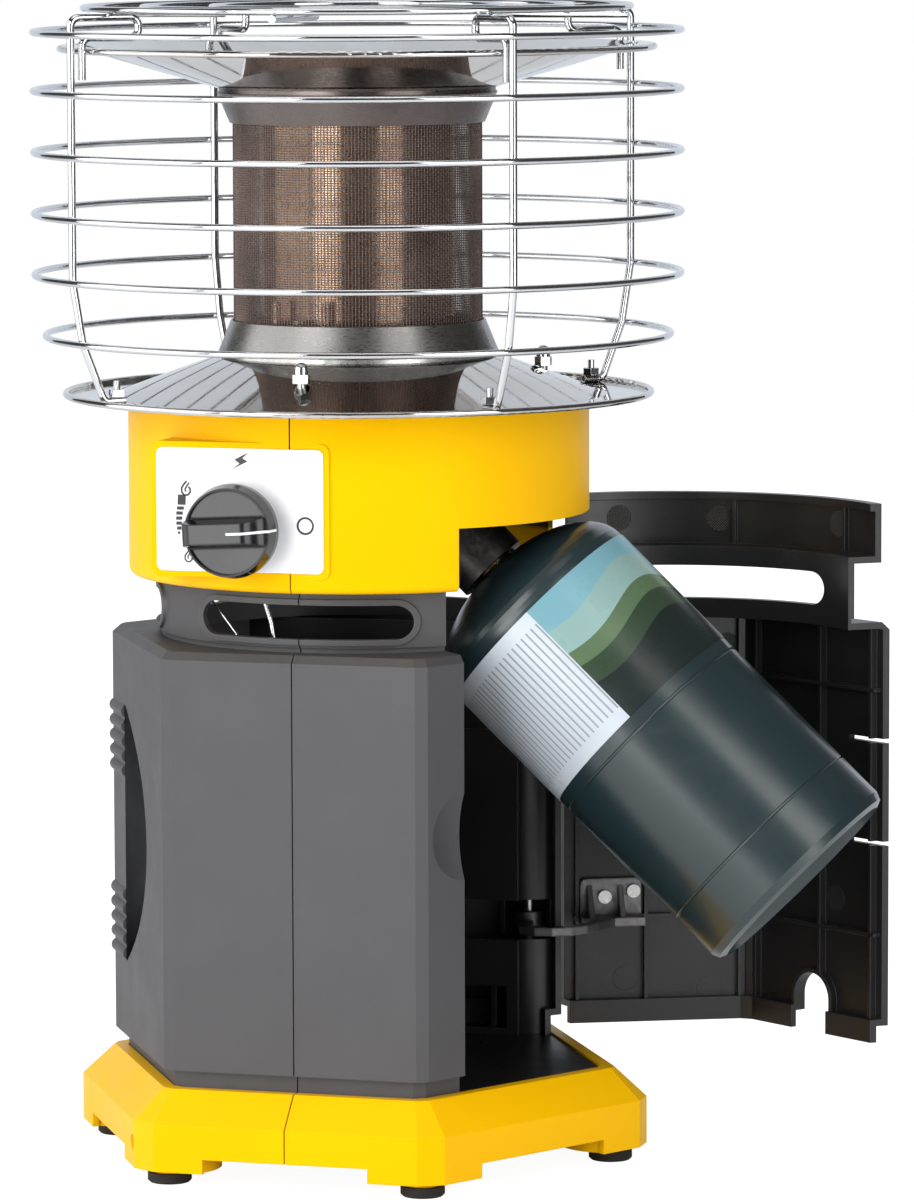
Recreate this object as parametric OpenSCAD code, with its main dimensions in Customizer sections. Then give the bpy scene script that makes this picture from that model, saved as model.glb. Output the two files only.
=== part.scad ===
// Portable propane heater: a hexagonal body on a hexagonal foot, a round
// control drum, a caged all-round burner and a bottle that swings out
// through a door. Millimetres, +Z up, origin on the floor at the burner axis.
// The door is drawn open and the bottle swung out, as when it is changed.

/* [Base] */
// Height of the base above the floor
foot_h = 7; // [6:0.5:12]
// Height of the rubber pad of each foot
foot_pad_h = 4.5; // [4:0.25:5.5]
// Diameter of each rubber pad
foot_d = 19.6; // [16:0.2:22]
// Distance from the axis to the centre of each foot
foot_ring_r = 117; // [114:0.5:120]
// Distance from the axis to each upright side of the base
base_apothem = 117.7; // [114:0.1:122]
// Width of the flat on each corner of the base
base_corner_w = 12.6; // [8:0.2:16]
// Height of the upright sides of the base
base_side_h = 21.3; // [16:0.1:30]
// Height of the sloped top of the base
base_slope_h = 13.7; // [10:0.1:18]
// Wall of the base halves
base_wall = 3; // [2:0.25:4]
// Width of the flat rim on top of the base
rim_w = 5.5; // [4:0.25:8]
// How far the base is cut away between its corner pads
base_arch_h = 6.5; // [3:0.25:10]
// Length of each corner pad along a side
pad_len = 30; // [24:0.5:40]
// Thickness of the floor plate
floor_t = 3; // [2:0.25:4]
// Gap between the two halves of every split shell
seam_gap = 0.6; // [0.3:0.1:1.2]

/* [Body] */
// Distance from the axis to each face of the body
body_apothem = 103; // [98:0.5:108]
// Width of the flat on each corner of the body
body_corner_w = 5.8; // [3:0.2:9]
// Wall of the body shells and the door
body_wall = 3; // [2:0.25:3.5]
// Height of the six faces of the body
face_h = 183; // [160:1:210]
// How far the skirt is set in from the faces
skirt_inset = 5.5; // [4:0.25:7]
// Height of the skirt between the floor plate and the faces
skirt_h = 9; // [6:0.5:12]
// Chamfer along the top of the faces
deck_chamfer = 3.5; // [2:0.25:5]
// Outer radius of the round neck between body and drum
neck_r = 90.5; // [86:0.5:94]
// Height of the neck
neck_h = 27.3; // [24:0.1:36]
// Height of the vent slots in the neck
vent_h = 15.2; // [10:0.2:18]
// Half of the angle that each vent slot spans
vent_half_angle = 32.5; // [20:0.5:36]
// Width of the raised border round each vent slot
vent_border = 2.6; // [1:0.2:3]
// How far that border stands proud of the neck
vent_proud = 1.5; // [0.5:0.1:2.5]

/* [Grip] */
// Height of the grip opening
grip_h = 118.5; // [100:0.5:130]
// Depth of the D-shaped grip opening behind the corner bar
grip_depth = 24.5; // [20:0.5:28]
// Distance from the body's corner to the straight side of the opening
grip_bar = 15.3; // [12:0.5:20]
// Height of the middle of the grip opening above the bottom of the faces
grip_mid_h = 93.8; // [80:0.5:110]
// Spacing of the ribs round the grip bar
grip_rib_pitch = 6.8; // [5:0.1:8]
// Diameter of each rib
grip_rib_d = 6; // [4:0.25:6.5]
// Ribs in each of the two groups
grip_ribs = 5; // [3:1:6]

/* [Door] */
// Angle from the middle of the door to its latch edge
door_front_angle = 48.3; // [46:0.1:50]
// Angle from the middle of the door to its hinge edge
door_rear_angle = 48; // [46:0.1:49]
// Gap round the closed door
door_gap = 1; // [0.9:0.1:1.3]
// Gap between the door's lowest edge and the base rim
door_lift = 0.4; // [0.4:0.1:1]
// How far the door stands open
door_open = 85; // [70:1:88]
// Distance from the axis to the door's hinge pin
hinge_r = 104.3; // [102:0.1:106]
// Bearing of the hinge pin from the middle of the door
hinge_angle = 58.4; // [57:0.1:60]
// Diameter of the hinge pins
hinge_pin_d = 5; // [4:0.25:6]
// Height of the lower hinge arm above the floor plate
arm_low_h = 48; // [40:1:60]
// Spacing of the two hinge arms
arm_spacing = 98; // [80:1:110]
// Depth of the door's stiffening ribs
door_rib_depth = 3.6; // [2:0.2:4]
// Thickness of those ribs
door_rib_t = 1.8; // [1.2:0.1:2.4]

/* [Drum] */
// Outer radius of the drum
drum_r = 103.9; // [100:0.1:108]
// Height of the drum
drum_h = 79.4; // [74:0.2:86]
// Wall of the drum halves
drum_wall = 2.5; // [2:0.25:3.5]
// Height of the opening that the door's top band fills
notch_h = 28; // [26:0.5:31]
// Rounding of the drum's bottom edge
drum_edge_r = 3; // [2:0.25:4]

/* [Control panel] */
// Width of the printed control plate
plate_w = 76.5; // [70:0.5:80]
// Height of the printed control plate
plate_h = 54.3; // [50:0.5:58]
// Thickness of the printed control plate
plate_t = 0.8; // [0.5:0.1:1.2]
// Middle of the plate from the drum's seam
plate_x = -23; // [-26:0.5:-22]
// Middle of the plate above the bottom of the drum
plate_lift = 36.3; // [34:0.1:38]
// Margin of the drum's flat boss round the plate
boss_margin = 2.6; // [1.5:0.1:3.5]
// How far the drum's front is cut back flat behind the plate
boss_cut = 0.6; // [0.2:0.1:1.2]
// Height of the knob's axis below the middle of the plate
knob_drop = 8; // [6:0.1:9]
// Diameter of the knob
knob_d = 41.5; // [36:0.5:46]
// Thickness of the knob's disc
knob_t = 10; // [8:0.25:12]
// Gap behind the knob, which it is pressed through
knob_gap = 9; // [7:0.25:12]
// Travel of the knob when it is pressed to light the burner
knob_push = 5; // [3:0.5:6]
// Width of the knob's finger bar
bar_w = 13; // [10:0.25:15]
// Height of the finger bar in front of the disc
bar_h = 7.5; // [5:0.5:11]

/* [Bottle] */
// Radius of the gas bottle
bottle_r = 51.6; // [49:0.2:52]
// Height of the straight part of the bottle
bottle_side_h = 168; // [160:0.5:172]
// Height of the domed top of the bottle
bottle_dome_h = 28.5; // [24:0.5:32]
// Height of the valve on top of the dome
bottle_valve_h = 9.5; // [8:0.5:12]
// Distance from the valve's mouth to the swing pin
regulator_reach = 60; // [56:1:62]
// How far the bottle is swung out
bottle_tilt = 46.3; // [40:0.1:48]
// Place of the swing pin along the door's middle
swing_x = 12.9; // [12:0.1:15]
// Depth of the swing pin below the top of the drum
swing_drop = 29.4; // [28:0.1:30.5]
// Diameter of the swing pin
swing_pin_d = 8; // [6:0.25:10]
// Running clearance round each pin
pin_play = 0.05; // [0.02:0.01:0.09]

/* [Burner] */
// Outer radius of the woven burner screen
screen_r = 56.3; // [54:0.1:58]
// Radius of the burner tube inside the screen
core_r = 44; // [40:0.5:48]
// Outer radius of both collars at their wide ends
collar_r = 63; // [61:0.25:66]
// Height of the lower collar
collar_low_h = 14; // [10:0.5:18]
// Height of the upper collar
collar_top_h = 13.6; // [10:0.2:18]
// Height of the burner between its two end plates
burner_h = 116.1; // [108:0.5:124]
// Thickness of the burner's end plates
end_plate_t = 2; // [1.5:0.25:3]
// Sheet thickness of collars and reflectors
sheet_t = 0.8; // [0.6:0.1:1.2]

/* [Reflectors] */
// Outer radius of the lower reflector
dish_r = 133.1; // [130:0.5:138]
// Outer radius of the lower reflector's cone
dish_cone_r = 112; // [108:0.5:114]
// Rise of the lower reflector's cone
dish_rise = 17.5; // [14:0.5:22]
// Outer radius of the upper reflector
hood_r = 134.5; // [132:0.25:135.5]
// Rise of the upper reflector's cone
hood_rise = 18.5; // [14:0.5:22]
// Diameter of both reflectors' rolled edges
roll_d = 3; // [2:0.25:4]
// Distance from the axis to the three cap nuts
nut_ring_r = 86; // [80:0.5:92]

/* [Guard] */
// Diameter of the ring wires
ring_wire = 3; // [2.6:0.1:3.8]
// Diameter of the upright wires
post_wire = 3.4; // [3:0.1:4]
// Outer radius of the four large guard rings
guard_r = 146.7; // [146:0.1:150]
// Outer radius of the lowest guard ring
guard_low_r = 142; // [141:0.1:144]
// Spacing of the guard rings
ring_pitch = 27.4; // [26:0.1:28.5]
// Height of the lowest guard ring above the lower reflector's rim
ring_low_h = 27; // [24:0.5:30]
// Height of the top guard ring above the one below it
ring_top_gap = 26.2; // [24:0.2:28]
// Outer radius of the top grille
grille_r = 124; // [122:0.5:126]
// Radius of the post feet's bolts
post_foot_r = 121; // [118:0.5:123]
// Bend radius of the guard wires
wire_bend_r = 4.5; // [3.5:0.25:6]

/* [Hidden] */
$fn = 96;

// Small fits and margins
eps = 0.01;
cut_margin = 1;
seat_gap = 0.2;
body_gap = 0.4;
rim_gap = 0.5;
far = 400;

// Heights, from the floor up
base_z = foot_h;
crease_z = base_z + base_side_h;
rim_z = crease_z + base_slope_h;
floor_drop = 1;
floor_z = rim_z - floor_drop;
face_z = floor_z + skirt_h;
face_top_z = face_z + face_h;
deck_z = face_top_z + deck_chamfer;
drum_z = deck_z + neck_h;
notch_z = drum_z + notch_h;
drum_top_z = drum_z + drum_h;
dish_z = drum_top_z + sheet_t;
cone_top_z = dish_z + dish_rise;
burner_z = cone_top_z + end_plate_t;
burner_top_z = burner_z + burner_h;
hood_z = burner_top_z + end_plate_t;
hood_rim_z = hood_z + hood_rise;

// Radii that follow from the sizes above
skirt_apothem = body_apothem - skirt_inset;
rim_in_apothem = skirt_apothem + rim_gap;
rim_apothem = rim_in_apothem + rim_w;
vent_z = deck_z + neck_h / 2;
hinge_x = hinge_r * cos(hinge_angle);
hinge_y = hinge_r * sin(hinge_angle);
swing_z = drum_top_z - swing_drop;
bottle_h = bottle_side_h + bottle_dome_h + bottle_valve_h;
swing_len = bottle_h + regulator_reach;
ring_r = guard_r - ring_wire / 2;
ring_low_r = guard_low_r - ring_wire / 2;
weld_sink = 0.05;
post_r = ring_r - (ring_wire + post_wire) / 2 + weld_sink;
post_low_r = ring_low_r - (ring_wire + post_wire) / 2 + weld_sink;
knob_z = drum_z + plate_lift - knob_drop;
boss_y = -(drum_r - boss_cut);
knob_back_y = boss_y - plate_t - knob_gap;

// ---- helpers

// The corners of a hexagon with flat corners, faces at 30 + 60 k degrees
function hex_points(a, w) = [
    for (k = [0 : 5], s = [-1, 1])
    let (r = a / cos(30) - w / 2 / tan(60), t = s * w / 2)
    [r * cos(60 * k) - t * sin(60 * k), r * sin(60 * k) + t * cos(60 * k)]
];

module hex_prism(a, w, z0, z1) {
    translate([0, 0, z0])
        linear_extrude(z1 - z0)
            polygon(hex_points(a, w));
}

// A hexagonal frustum between two sizes of the same hexagon
module hex_frustum(a0, w0, z0, a1, w1, z1) {
    low = [for (p = hex_points(a0, w0)) [p.x, p.y, z0]];
    high = [for (p = hex_points(a1, w1)) [p.x, p.y, z1]];
    n = len(low);
    sides = [for (i = [0 : n - 1]) [i, i + n, (i + 1) % n + n, (i + 1) % n]];
    polyhedron(concat(low, high), concat([[for (i = [0 : n - 1]) i]],
        [[for (i = [n - 1 : -1 : 0]) i + n]], sides));
}

function polar(r, a) = [r * cos(a), r * sin(a)];

// A rectangle with round corners, centred
module round_rect(w, h, r) {
    square([w - 2 * r, h], center = true);
    square([w, h - 2 * r], center = true);
    for (x = [-1, 1], y = [-1, 1])
        translate([x * (w / 2 - r), y * (h / 2 - r)])
            circle(r = r);
}

// Everything between two bearings, seen from above, within a height
module wedge(from_angle, to_angle, z0, z1) {
    mid = (from_angle + to_angle) / 2;
    translate([0, 0, z0])
        linear_extrude(z1 - z0)
            polygon([[0, 0], far * [cos(from_angle), sin(from_angle)],
                far * [cos(mid), sin(mid)], far * [cos(to_angle), sin(to_angle)]]);
}

// Half of space on one side of the seam
module seam_side(side) {
    translate([side < 0 ? -far - seam_gap / 2 : seam_gap / 2, -far, -far])
        cube([far, 2 * far, 3 * far]);
}

// A round bar from one point to another
module bar_between(a, b, d) {
    v = b - a;
    translate(a)
        rotate([0, acos(v.z / norm(v)), atan2(v.y, v.x)])
            cylinder(d = d, h = norm(v));
}

// A thin lead or tube through points, with a round elbow at each bend
elbow_swell = 0.12;

module lead(points, d) {
    for (i = [0 : len(points) - 2])
        bar_between(points[i], points[i + 1], d);
    for (i = [1 : len(points) - 2])
        translate(points[i])
            sphere(d = d + elbow_swell, $fn = 32);
}

// A wire bent in one upright plane: points are [radius, height]
function toward(p, q) = (q - p) / norm(q - p);
function bend_at(pts, i) =
    let (u = toward(pts[i - 1], pts[i]), v = toward(pts[i], pts[i + 1]))
    atan2(u.x * v.y - u.y * v.x, u * v);
gentle_bend = 25;
elbow_lap = 0.2;
function trim_at(pts, i, r) =
    i == 0 || i == len(pts) - 1 || abs(bend_at(pts, i)) < gentle_bend
        ? 0 : r * tan(abs(bend_at(pts, i)) / 2);

module bent_wire(pts, d, r) {
    $fn = 24;
    rotate([90, 0, 0]) {
        for (i = [0 : len(pts) - 2]) {
            u = toward(pts[i], pts[i + 1]);
            a = pts[i] + u * (trim_at(pts, i, r) - (i > 0 ? elbow_lap : 0));
            b = pts[i + 1] - u * (trim_at(pts, i + 1, r) - (i < len(pts) - 2 ? elbow_lap : 0));
            translate([a.x, a.y, 0])
                rotate(atan2(u.y, u.x))
                    rotate([0, 90, 0])
                        cylinder(d = d, h = norm(b - a));
        }
        for (i = [1 : len(pts) - 2]) {
            turn = bend_at(pts, i);
            u = toward(pts[i - 1], pts[i]);
            side = turn > 0 ? 1 : -1;
            centre = pts[i] - u * trim_at(pts, i, r) + side * r * [-u.y, u.x];
            start = atan2(u.y, u.x) - side * 90;
            if (abs(turn) < gentle_bend)
                translate([pts[i].x, pts[i].y, 0])
                    sphere(d = d + elbow_swell);
            else
                translate([centre.x, centre.y, 0])
                    rotate(side > 0 ? start : start + turn)
                        rotate_extrude(angle = abs(turn))
                            translate([r, 0])
                                circle(d = d + elbow_swell);
        }
    }
}

// A long slot with round ends that runs outwards along x
module vent_shape(grow, r_in, r_out, z) {
    h = vent_h + 2 * grow;
    w = 2 * neck_r * sin(vent_half_angle) + 2 * grow;
    translate([r_in, 0, z])
        rotate([90, 0, 90])
            linear_extrude(r_out - r_in) {
                square([w - h, h], center = true);
                for (s = [-1, 1])
                    translate([s * (w - h) / 2, 0])
                        circle(d = h);
            }
}

// Carries the closed door's shapes to where the open door stands
module opened() {
    translate([hinge_x, hinge_y, 0])
        rotate(door_open)
            translate([-hinge_x, -hinge_y, 0])
                children();
}

// Places a shape on a body face: x along the face, y up, z outwards
module on_face(face_angle, apothem) {
    rotate(face_angle)
        translate([apothem, 0, 0])
            rotate([90, 0, 90])
                children();
}

// Carries shapes drawn under the swing pin to the swung bottle's place
module swung() {
    translate([swing_x, 0, swing_z])
        rotate([0, -bottle_tilt, 0])
            children();
}

// ---- base

base_in_apothem = base_apothem - base_wall;
ledge_t = 3;
ledge_w = 6;
pad_t = 3;
foot_boss_d = 14;
foot_screw_d = 4;
side_screw_d = 7;
side_screw_inset = 12;
side_screw_h = 11;
side_screw_depth = 2;
pad_bulge = 2.7;
pad_r = pad_len - (base_apothem / cos(30) - foot_ring_r) * sin(30) + pad_bulge;
pad_wall = 2;

module base_half(side) {
    plate_z = floor_z - floor_t;
    difference() {
        intersection() {
            seam_side(side);
            union() {
                difference() {
                    union() {
                        hex_prism(base_apothem, base_corner_w, base_z, crease_z);
                        hex_frustum(base_apothem, base_corner_w, crease_z,
                            rim_apothem, body_corner_w, rim_z);
                    }
                    hex_prism(base_in_apothem, base_corner_w, base_z - cut_margin,
                        crease_z - base_wall);
                    hex_frustum(base_in_apothem, base_corner_w,
                        crease_z - base_wall - eps, rim_in_apothem, body_corner_w,
                        plate_z);
                    hex_prism(rim_in_apothem, body_corner_w, plate_z - eps,
                        rim_z + cut_margin);
                }
                // Ledge that the floor plate rests on
                difference() {
                    hex_prism(rim_in_apothem + rim_w / 2, body_corner_w,
                        plate_z - ledge_t, plate_z);
                    hex_prism(rim_in_apothem - ledge_w, body_corner_w,
                        plate_z - ledge_t - cut_margin, plate_z + cut_margin);
                }
                // Round cups under the six corners
                intersection() {
                    hex_prism(base_apothem - eps, base_corner_w, base_z, crease_z);
                    for (k = [0 : 5])
                        rotate(60 * k)
                            translate([foot_ring_r, 0, base_z])
                                difference() {
                                    cylinder(r = pad_r, h = base_arch_h + pad_t);
                                    translate([0, 0, pad_t])
                                        cylinder(r = pad_r - pad_wall, h = far);
                                }
                }
                // Foot bosses, down to the rubber pads
                for (k = [0 : 5])
                    rotate(60 * k)
                        translate([foot_ring_r, 0, foot_pad_h])
                            cylinder(d = foot_boss_d, h = crease_z - foot_pad_h);
            }
        }
        // Raised underside between the corner pads
        for (k = [0 : 5])
            rotate(30 + 60 * k)
                translate([base_in_apothem - cut_margin / 2, -arch_w() / 2, base_z - cut_margin])
                    cube([2 * base_wall, arch_w(), base_arch_h + cut_margin]);
        for (k = [0 : 5])
            rotate(60 * k)
                translate([foot_ring_r, 0, foot_pad_h - cut_margin])
                    cylinder(d = foot_screw_d, h = foot_h - foot_pad_h + foot_screw_l + cut_margin);
        // Round recess in the side next to the front left corner
        on_face(-150, base_apothem - side_screw_depth)
            translate([side_len() / 2 - side_screw_inset, base_z + side_screw_h, 0])
                cylinder(d = side_screw_d, h = 2 * side_screw_depth);
    }
}

function side_len() = 2 * base_apothem * tan(30);
function arch_w() = side_len() - 2 * pad_len;

module base_left() {
    color("gold")
        base_half(-1);
}

module base_right() {
    color("gold")
        base_half(1);
}

foot_taper = 1;
foot_screw_l = 12;
foot_recess_d = 9;
foot_recess_h = 3;

module rubber_feet() {
    color("black")
        for (k = [0 : 5])
            rotate(60 * k)
                translate([foot_ring_r, 0, 0])
                    difference() {
                        union() {
                            cylinder(d1 = foot_d - 2 * foot_taper, d2 = foot_d, h = foot_taper);
                            translate([0, 0, foot_taper - eps])
                                cylinder(d = foot_d, h = foot_pad_h - foot_taper + eps);
                        }
                        translate([0, 0, -cut_margin])
                            cylinder(d = foot_recess_d, h = foot_recess_h + cut_margin);
                        cylinder(d = foot_screw_d, h = foot_pad_h + cut_margin);
                    }
}

module foot_screws() {
    head_t = 2.4;
    color("silver")
        for (k = [0 : 5])
            rotate(60 * k)
                translate([foot_ring_r, 0, foot_recess_h - head_t])
                    union() {
                        cylinder(d = foot_recess_d - 1, h = head_t);
                        cylinder(d = foot_screw_d - 2 * seat_gap,
                            h = head_t + foot_h - foot_recess_h + foot_screw_l - 1);
                    }
}

module floor_plate() {
    color("dimgray")
        hex_prism(rim_in_apothem - seat_gap, body_corner_w, floor_z - floor_t, floor_z);
}

// ---- body

// The body's outline, shrunk by an inset: skirt, faces, chamfered deck, neck
module body_form(inset, low_z) {
    a = body_apothem - inset;
    hex_prism(skirt_apothem - inset, body_corner_w, low_z, face_z + inset + eps);
    hex_prism(a, body_corner_w, face_z + inset, face_top_z);
    hex_frustum(a, body_corner_w, face_top_z - eps, a - deck_chamfer + inset * 0.4,
        body_corner_w, deck_z - inset);
    translate([0, 0, deck_z - inset - eps])
        cylinder(r = neck_r - inset, h = neck_h + 2 * inset + (inset > 0 ? cut_margin : -2 * inset));
}

foot_groove_h = 2.2;
foot_groove_depth = 1.4;

// The whole hollow body, before it is divided into shells and door
module body_skin(low_z, vent_angles) {
    difference() {
        union() {
            body_form(0, low_z);
            intersection() {
                translate([0, 0, deck_z])
                    cylinder(r = neck_r + vent_proud, h = neck_h);
                for (a = vent_angles)
                    rotate(a)
                        vent_shape(vent_border, neck_r / 2, 2 * neck_r, vent_z);
            }
        }
        body_form(body_wall, low_z - cut_margin);
        for (a = vent_angles)
            rotate(a)
                vent_shape(0, neck_r / 2, 2 * neck_r, vent_z);
        // Shadow groove at the foot of the neck
        translate([0, 0, deck_z])
            difference() {
                cylinder(r = neck_r + vent_proud + cut_margin, h = foot_groove_h);
                translate([0, 0, -cut_margin])
                    cylinder(r = neck_r - foot_groove_depth,
                        h = foot_groove_h + 2 * cut_margin);
            }
    }
}

// D-shaped outline of the grip opening, seen from the front
corner_r = body_apothem / cos(30);
grip_x = -(corner_r - grip_bar);
grip_z = face_z + grip_mid_h;
grip_arc_r = (grip_h * grip_h / 4 + grip_depth * grip_depth) / 2 / grip_depth;

module grip_outline(grow) {
    intersection() {
        translate([grip_x + grip_depth - grip_arc_r, 0])
            circle(r = grip_arc_r + grow, $fn = 160);
        translate([grip_x - grow, -far / 2])
            square([far, far]);
    }
}

module grip_tunnel(grow) {
    translate([0, 0, grip_z])
        rotate([90, 0, 0])
            translate([0, 0, -far / 2])
                linear_extrude(far)
                    grip_outline(grow);
}

// Half-round ribs that run round the grip bar
rib_sink = 1.2;
rib_group_gap = 56.8;

function grip_rib_path() =
    let (a = body_apothem - rib_sink,
        flat_x = -(a / cos(30) - body_corner_w / 2 / tan(60)),
        edge_x = grip_x + rib_sink)
    [
        [edge_x, -(a - abs(edge_x) * cos(30)) / sin(30), 0],
        [flat_x, -body_corner_w / 2, 0],
        [flat_x, body_corner_w / 2, 0],
        [edge_x, (a - abs(edge_x) * cos(30)) / sin(30), 0]
    ];

module body_left_shell() {
    sleeve_wall = 2.5;
    path = grip_rib_path();
    color("dimgray")
        difference() {
            union() {
                intersection() {
                    seam_side(-1);
                    union() {
                        body_skin(floor_z, [180, -90, 90]);
                        // Sleeve behind the grip bar
                        intersection() {
                            hex_prism(body_apothem - eps, body_corner_w, face_z + eps,
                                face_top_z);
                            grip_tunnel(sleeve_wall);
                        }
                    }
                }
                for (s = [-1, 1], i = [0 : grip_ribs - 1])
                    translate([0, 0, grip_z + s * (rib_group_gap / 2 + i * grip_rib_pitch)])
                        lead(path, grip_rib_d);
            }
            grip_tunnel(0);
        }
}

// Round dish in the latch edge, for a finger on the door's latch
dish_mid_h = 106.6;
finger_r = 19.3;
finger_depth = 5;
finger_ball_r = (finger_r * finger_r + finger_depth * finger_depth) / 2 / finger_depth;
latch_u = body_apothem * tan(door_front_angle - 30);

module finger_ball(grow) {
    on_face(-30, body_apothem)
        translate([-latch_u, face_z + dish_mid_h, finger_ball_r - finger_depth])
            sphere(r = finger_ball_r + grow);
}

module body_front_right_shell() {
    color("dimgray")
        difference() {
            intersection() {
                seam_side(1);
                wedge(-91, -door_front_angle, 0, far);
                union() {
                    body_skin(floor_z, [-90]);
                    intersection() {
                        hex_prism(body_apothem - eps, body_corner_w, face_z, face_top_z);
                        finger_ball(body_wall);
                    }
                }
            }
            finger_ball(0);
        }
}

module body_rear_right_shell() {
    color("dimgray")
        intersection() {
            seam_side(1);
            wedge(door_rear_angle, 91, 0, far);
            body_skin(floor_z, [90]);
        }
}

// Liner behind the bottle: a back wall and the round pocket of the hinge pins
column_r = 14.5;
liner_wall = 2.5;
liner_y = hinge_y - 18.9;
window_h = 18.5;
window_x = 6.5;
hose_window_x = -11;
window_end_angle = -31;
hose_window_w = 60;
hose_window_h = 19.8;
hose_window_depth = 6.2;
hose_window_lift = 3;
arm_z = floor_z + arm_low_h;
shelf_t = 3;
window_drop = 3.5;

function arm_heights() = [arm_z, arm_z + arm_spacing];

module bottle_bay_liner() {
    top_z = deck_z - body_wall - seat_gap;
    left_x = -(body_apothem - body_wall - seat_gap - liner_y * sin(30)) / cos(30);
    color("black")
        difference() {
            union() {
                intersection() {
                    body_form(body_wall + seat_gap, floor_z);
                    wedge(door_rear_angle + 1, 200, 0, face_top_z);
                    union() {
                        difference() {
                            translate([hinge_x, hinge_y, floor_z])
                                cylinder(r = column_r, h = face_top_z - floor_z);
                            translate([hinge_x, hinge_y, floor_z - cut_margin])
                                cylinder(r = column_r - liner_wall, h = far);
                        }
                        difference() {
                            union() {
                                translate([left_x, liner_y, floor_z])
                                    cube([hinge_x - left_x, liner_wall, far]);
                                // Return from the wall to the pocket
                                translate([hinge_x - column_r, liner_y, floor_z])
                                    cube([liner_wall, hinge_y - liner_y, far]);
                            }
                            translate([hinge_x, hinge_y, floor_z - cut_margin])
                                cylinder(r = column_r - liner_wall, h = far);
                        }
                    }
                }
                // Shelves that hold the hinge pin
                intersection() {
                    body_form(body_wall + seat_gap, floor_z);
                    for (z = arm_heights(), s = [-1, 1])
                        translate([hinge_x, hinge_y, z - window_drop
                            + (s < 0 ? -shelf_t : window_h)])
                            cylinder(r = column_r - liner_wall / 2, h = shelf_t);
                }
            }
            for (z = arm_heights())
                translate([hinge_x, hinge_y, z - window_drop])
                    linear_extrude(window_h)
                        polygon([
                            [window_x - hinge_x, cut_margin],
                            [window_x - hinge_x, liner_y - hinge_y - cut_margin],
                            [column_r / 2, liner_y - hinge_y - cut_margin],
                            polar(column_r + 3 * cut_margin, window_end_angle),
                            [0, cut_margin]
                        ]);
            translate([hinge_x, hinge_y, 0])
                cylinder(d = hinge_pin_d + 2 * pin_play, h = far);
            // Low window for a hose
            translate([hose_window_x, liner_y - cut_margin,
                floor_z + hose_window_lift])
                cube([hose_window_w, hose_window_depth, hose_window_h]);
        }
}

// ---- door

band_t = 3;
band_h = notch_h - door_gap;
band_flange_w = 5.5;
band_flange_t = 3.5;
tongue_low_h = 83.3;
tongue_h = 45.4;
slit_h = 2;
tongue_u = -9.8;
arch_u = 12.1;
arch_r = 11.7;
arch_top_h = 19.4;
door_low_z = rim_z + door_lift;
level_rib_h = [42, 155];
level_rib_w = 85;
upright_ribs = [[30, -6.7], [30, -51.4], [30, 26], [-30, 7.2], [-30, -27], [-30, 52]];

module door_sector(z0, z1) {
    shift = door_gap / sin((door_front_angle + door_rear_angle) / 2);
    translate([shift, 0, 0])
        wedge(-door_front_angle, door_rear_angle, z0, z1);
}

module door_ribs() {
    in_a = body_apothem - body_wall;
    inner_z0 = face_z + body_wall - eps;
    inner_h = face_h - body_wall + deck_chamfer / 2;
    // Upright ribs: face bearing and place along the face
    for (r = upright_ribs)
        rotate(r[0])
            translate([in_a - door_rib_depth, r[1] - door_rib_t / 2, inner_z0])
                cube([door_rib_depth + eps, door_rib_t, inner_h]);
    // Level ribs on both panels
    for (face = [-1, 1], h = level_rib_h)
        intersection() {
            hex_prism(in_a + eps, body_corner_w, face_z, face_top_z);
            rotate(30 * face)
                translate([in_a - door_rib_depth, face > 0 ? -level_rib_w / 2 - 15 : -30,
                    face_z + h - door_rib_t / 2])
                    cube([door_rib_depth + eps, level_rib_w, door_rib_t]);
        }
    hose_arch(in_a - door_rib_depth, door_rib_depth + eps, door_rib_t);
}

// Arch for a hose in the door's bottom edge, from a depth outwards
module hose_arch(from_a, depth, grow) {
    on_face(-30, from_a)
        translate([arch_u, face_z + arch_top_h - arch_r, 0])
            linear_extrude(depth) {
                circle(r = arch_r + grow);
                translate([-arch_r - grow, -far])
                    square([2 * (arch_r + grow), far]);
            }
}

module door_closed() {
    difference() {
        union() {
            intersection() {
                door_sector(0, far);
                union() {
                    body_skin(door_low_z, [0]);
                    // Top band that fills the opening in the drum
                    translate([0, 0, drum_z - eps])
                        difference() {
                            cylinder(r = drum_r, h = band_h);
                            translate([0, 0, band_t])
                                cylinder(r = drum_r - band_t,
                                    h = band_h - band_t - band_flange_t);
                            translate([0, 0, -cut_margin])
                                cylinder(r = neck_r - body_wall, h = notch_h + cut_margin);
                            translate([0, 0, band_h - band_flange_t - eps])
                                cylinder(r = drum_r - band_flange_w, h = notch_h);
                        }
                    intersection() {
                        hex_prism(body_apothem - eps, body_corner_w, face_z, face_top_z + 1);
                        door_ribs();
                    }
                    for (a = [-34, 2])
                        rotate(a)
                            translate([drum_r - band_flange_w, -door_rib_t / 2, drum_z])
                                cube([band_flange_w - band_t / 2, door_rib_t,
                                    band_h - 2 * eps]);
                }
            }
        }
        // Clear seats for the hinge plates between the ribs
        for (z = arm_heights())
            rotate(30)
                translate([body_apothem - 4 * body_wall,
                    mount_plate_u - mount_plate_w / 2 - body_gap, z - body_gap])
                    cube([3 * body_wall, mount_plate_w + 2 * body_gap,
                        mount_plate_h + 2 * body_gap]);
        // Slits that free the latch tongue
        for (h = [tongue_low_h, tongue_low_h + tongue_h + slit_h])
            rotate(-30)
                translate([body_apothem - 4 * body_wall, -far, face_z + h])
                    cube([5 * body_wall, far + tongue_u, slit_h]);
        hose_arch(body_apothem - 6 * body_wall, 7 * body_wall, 0);
    }
}

module door() {
    color([0.12, 0.12, 0.13])
        opened()
            door_closed();
}

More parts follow.
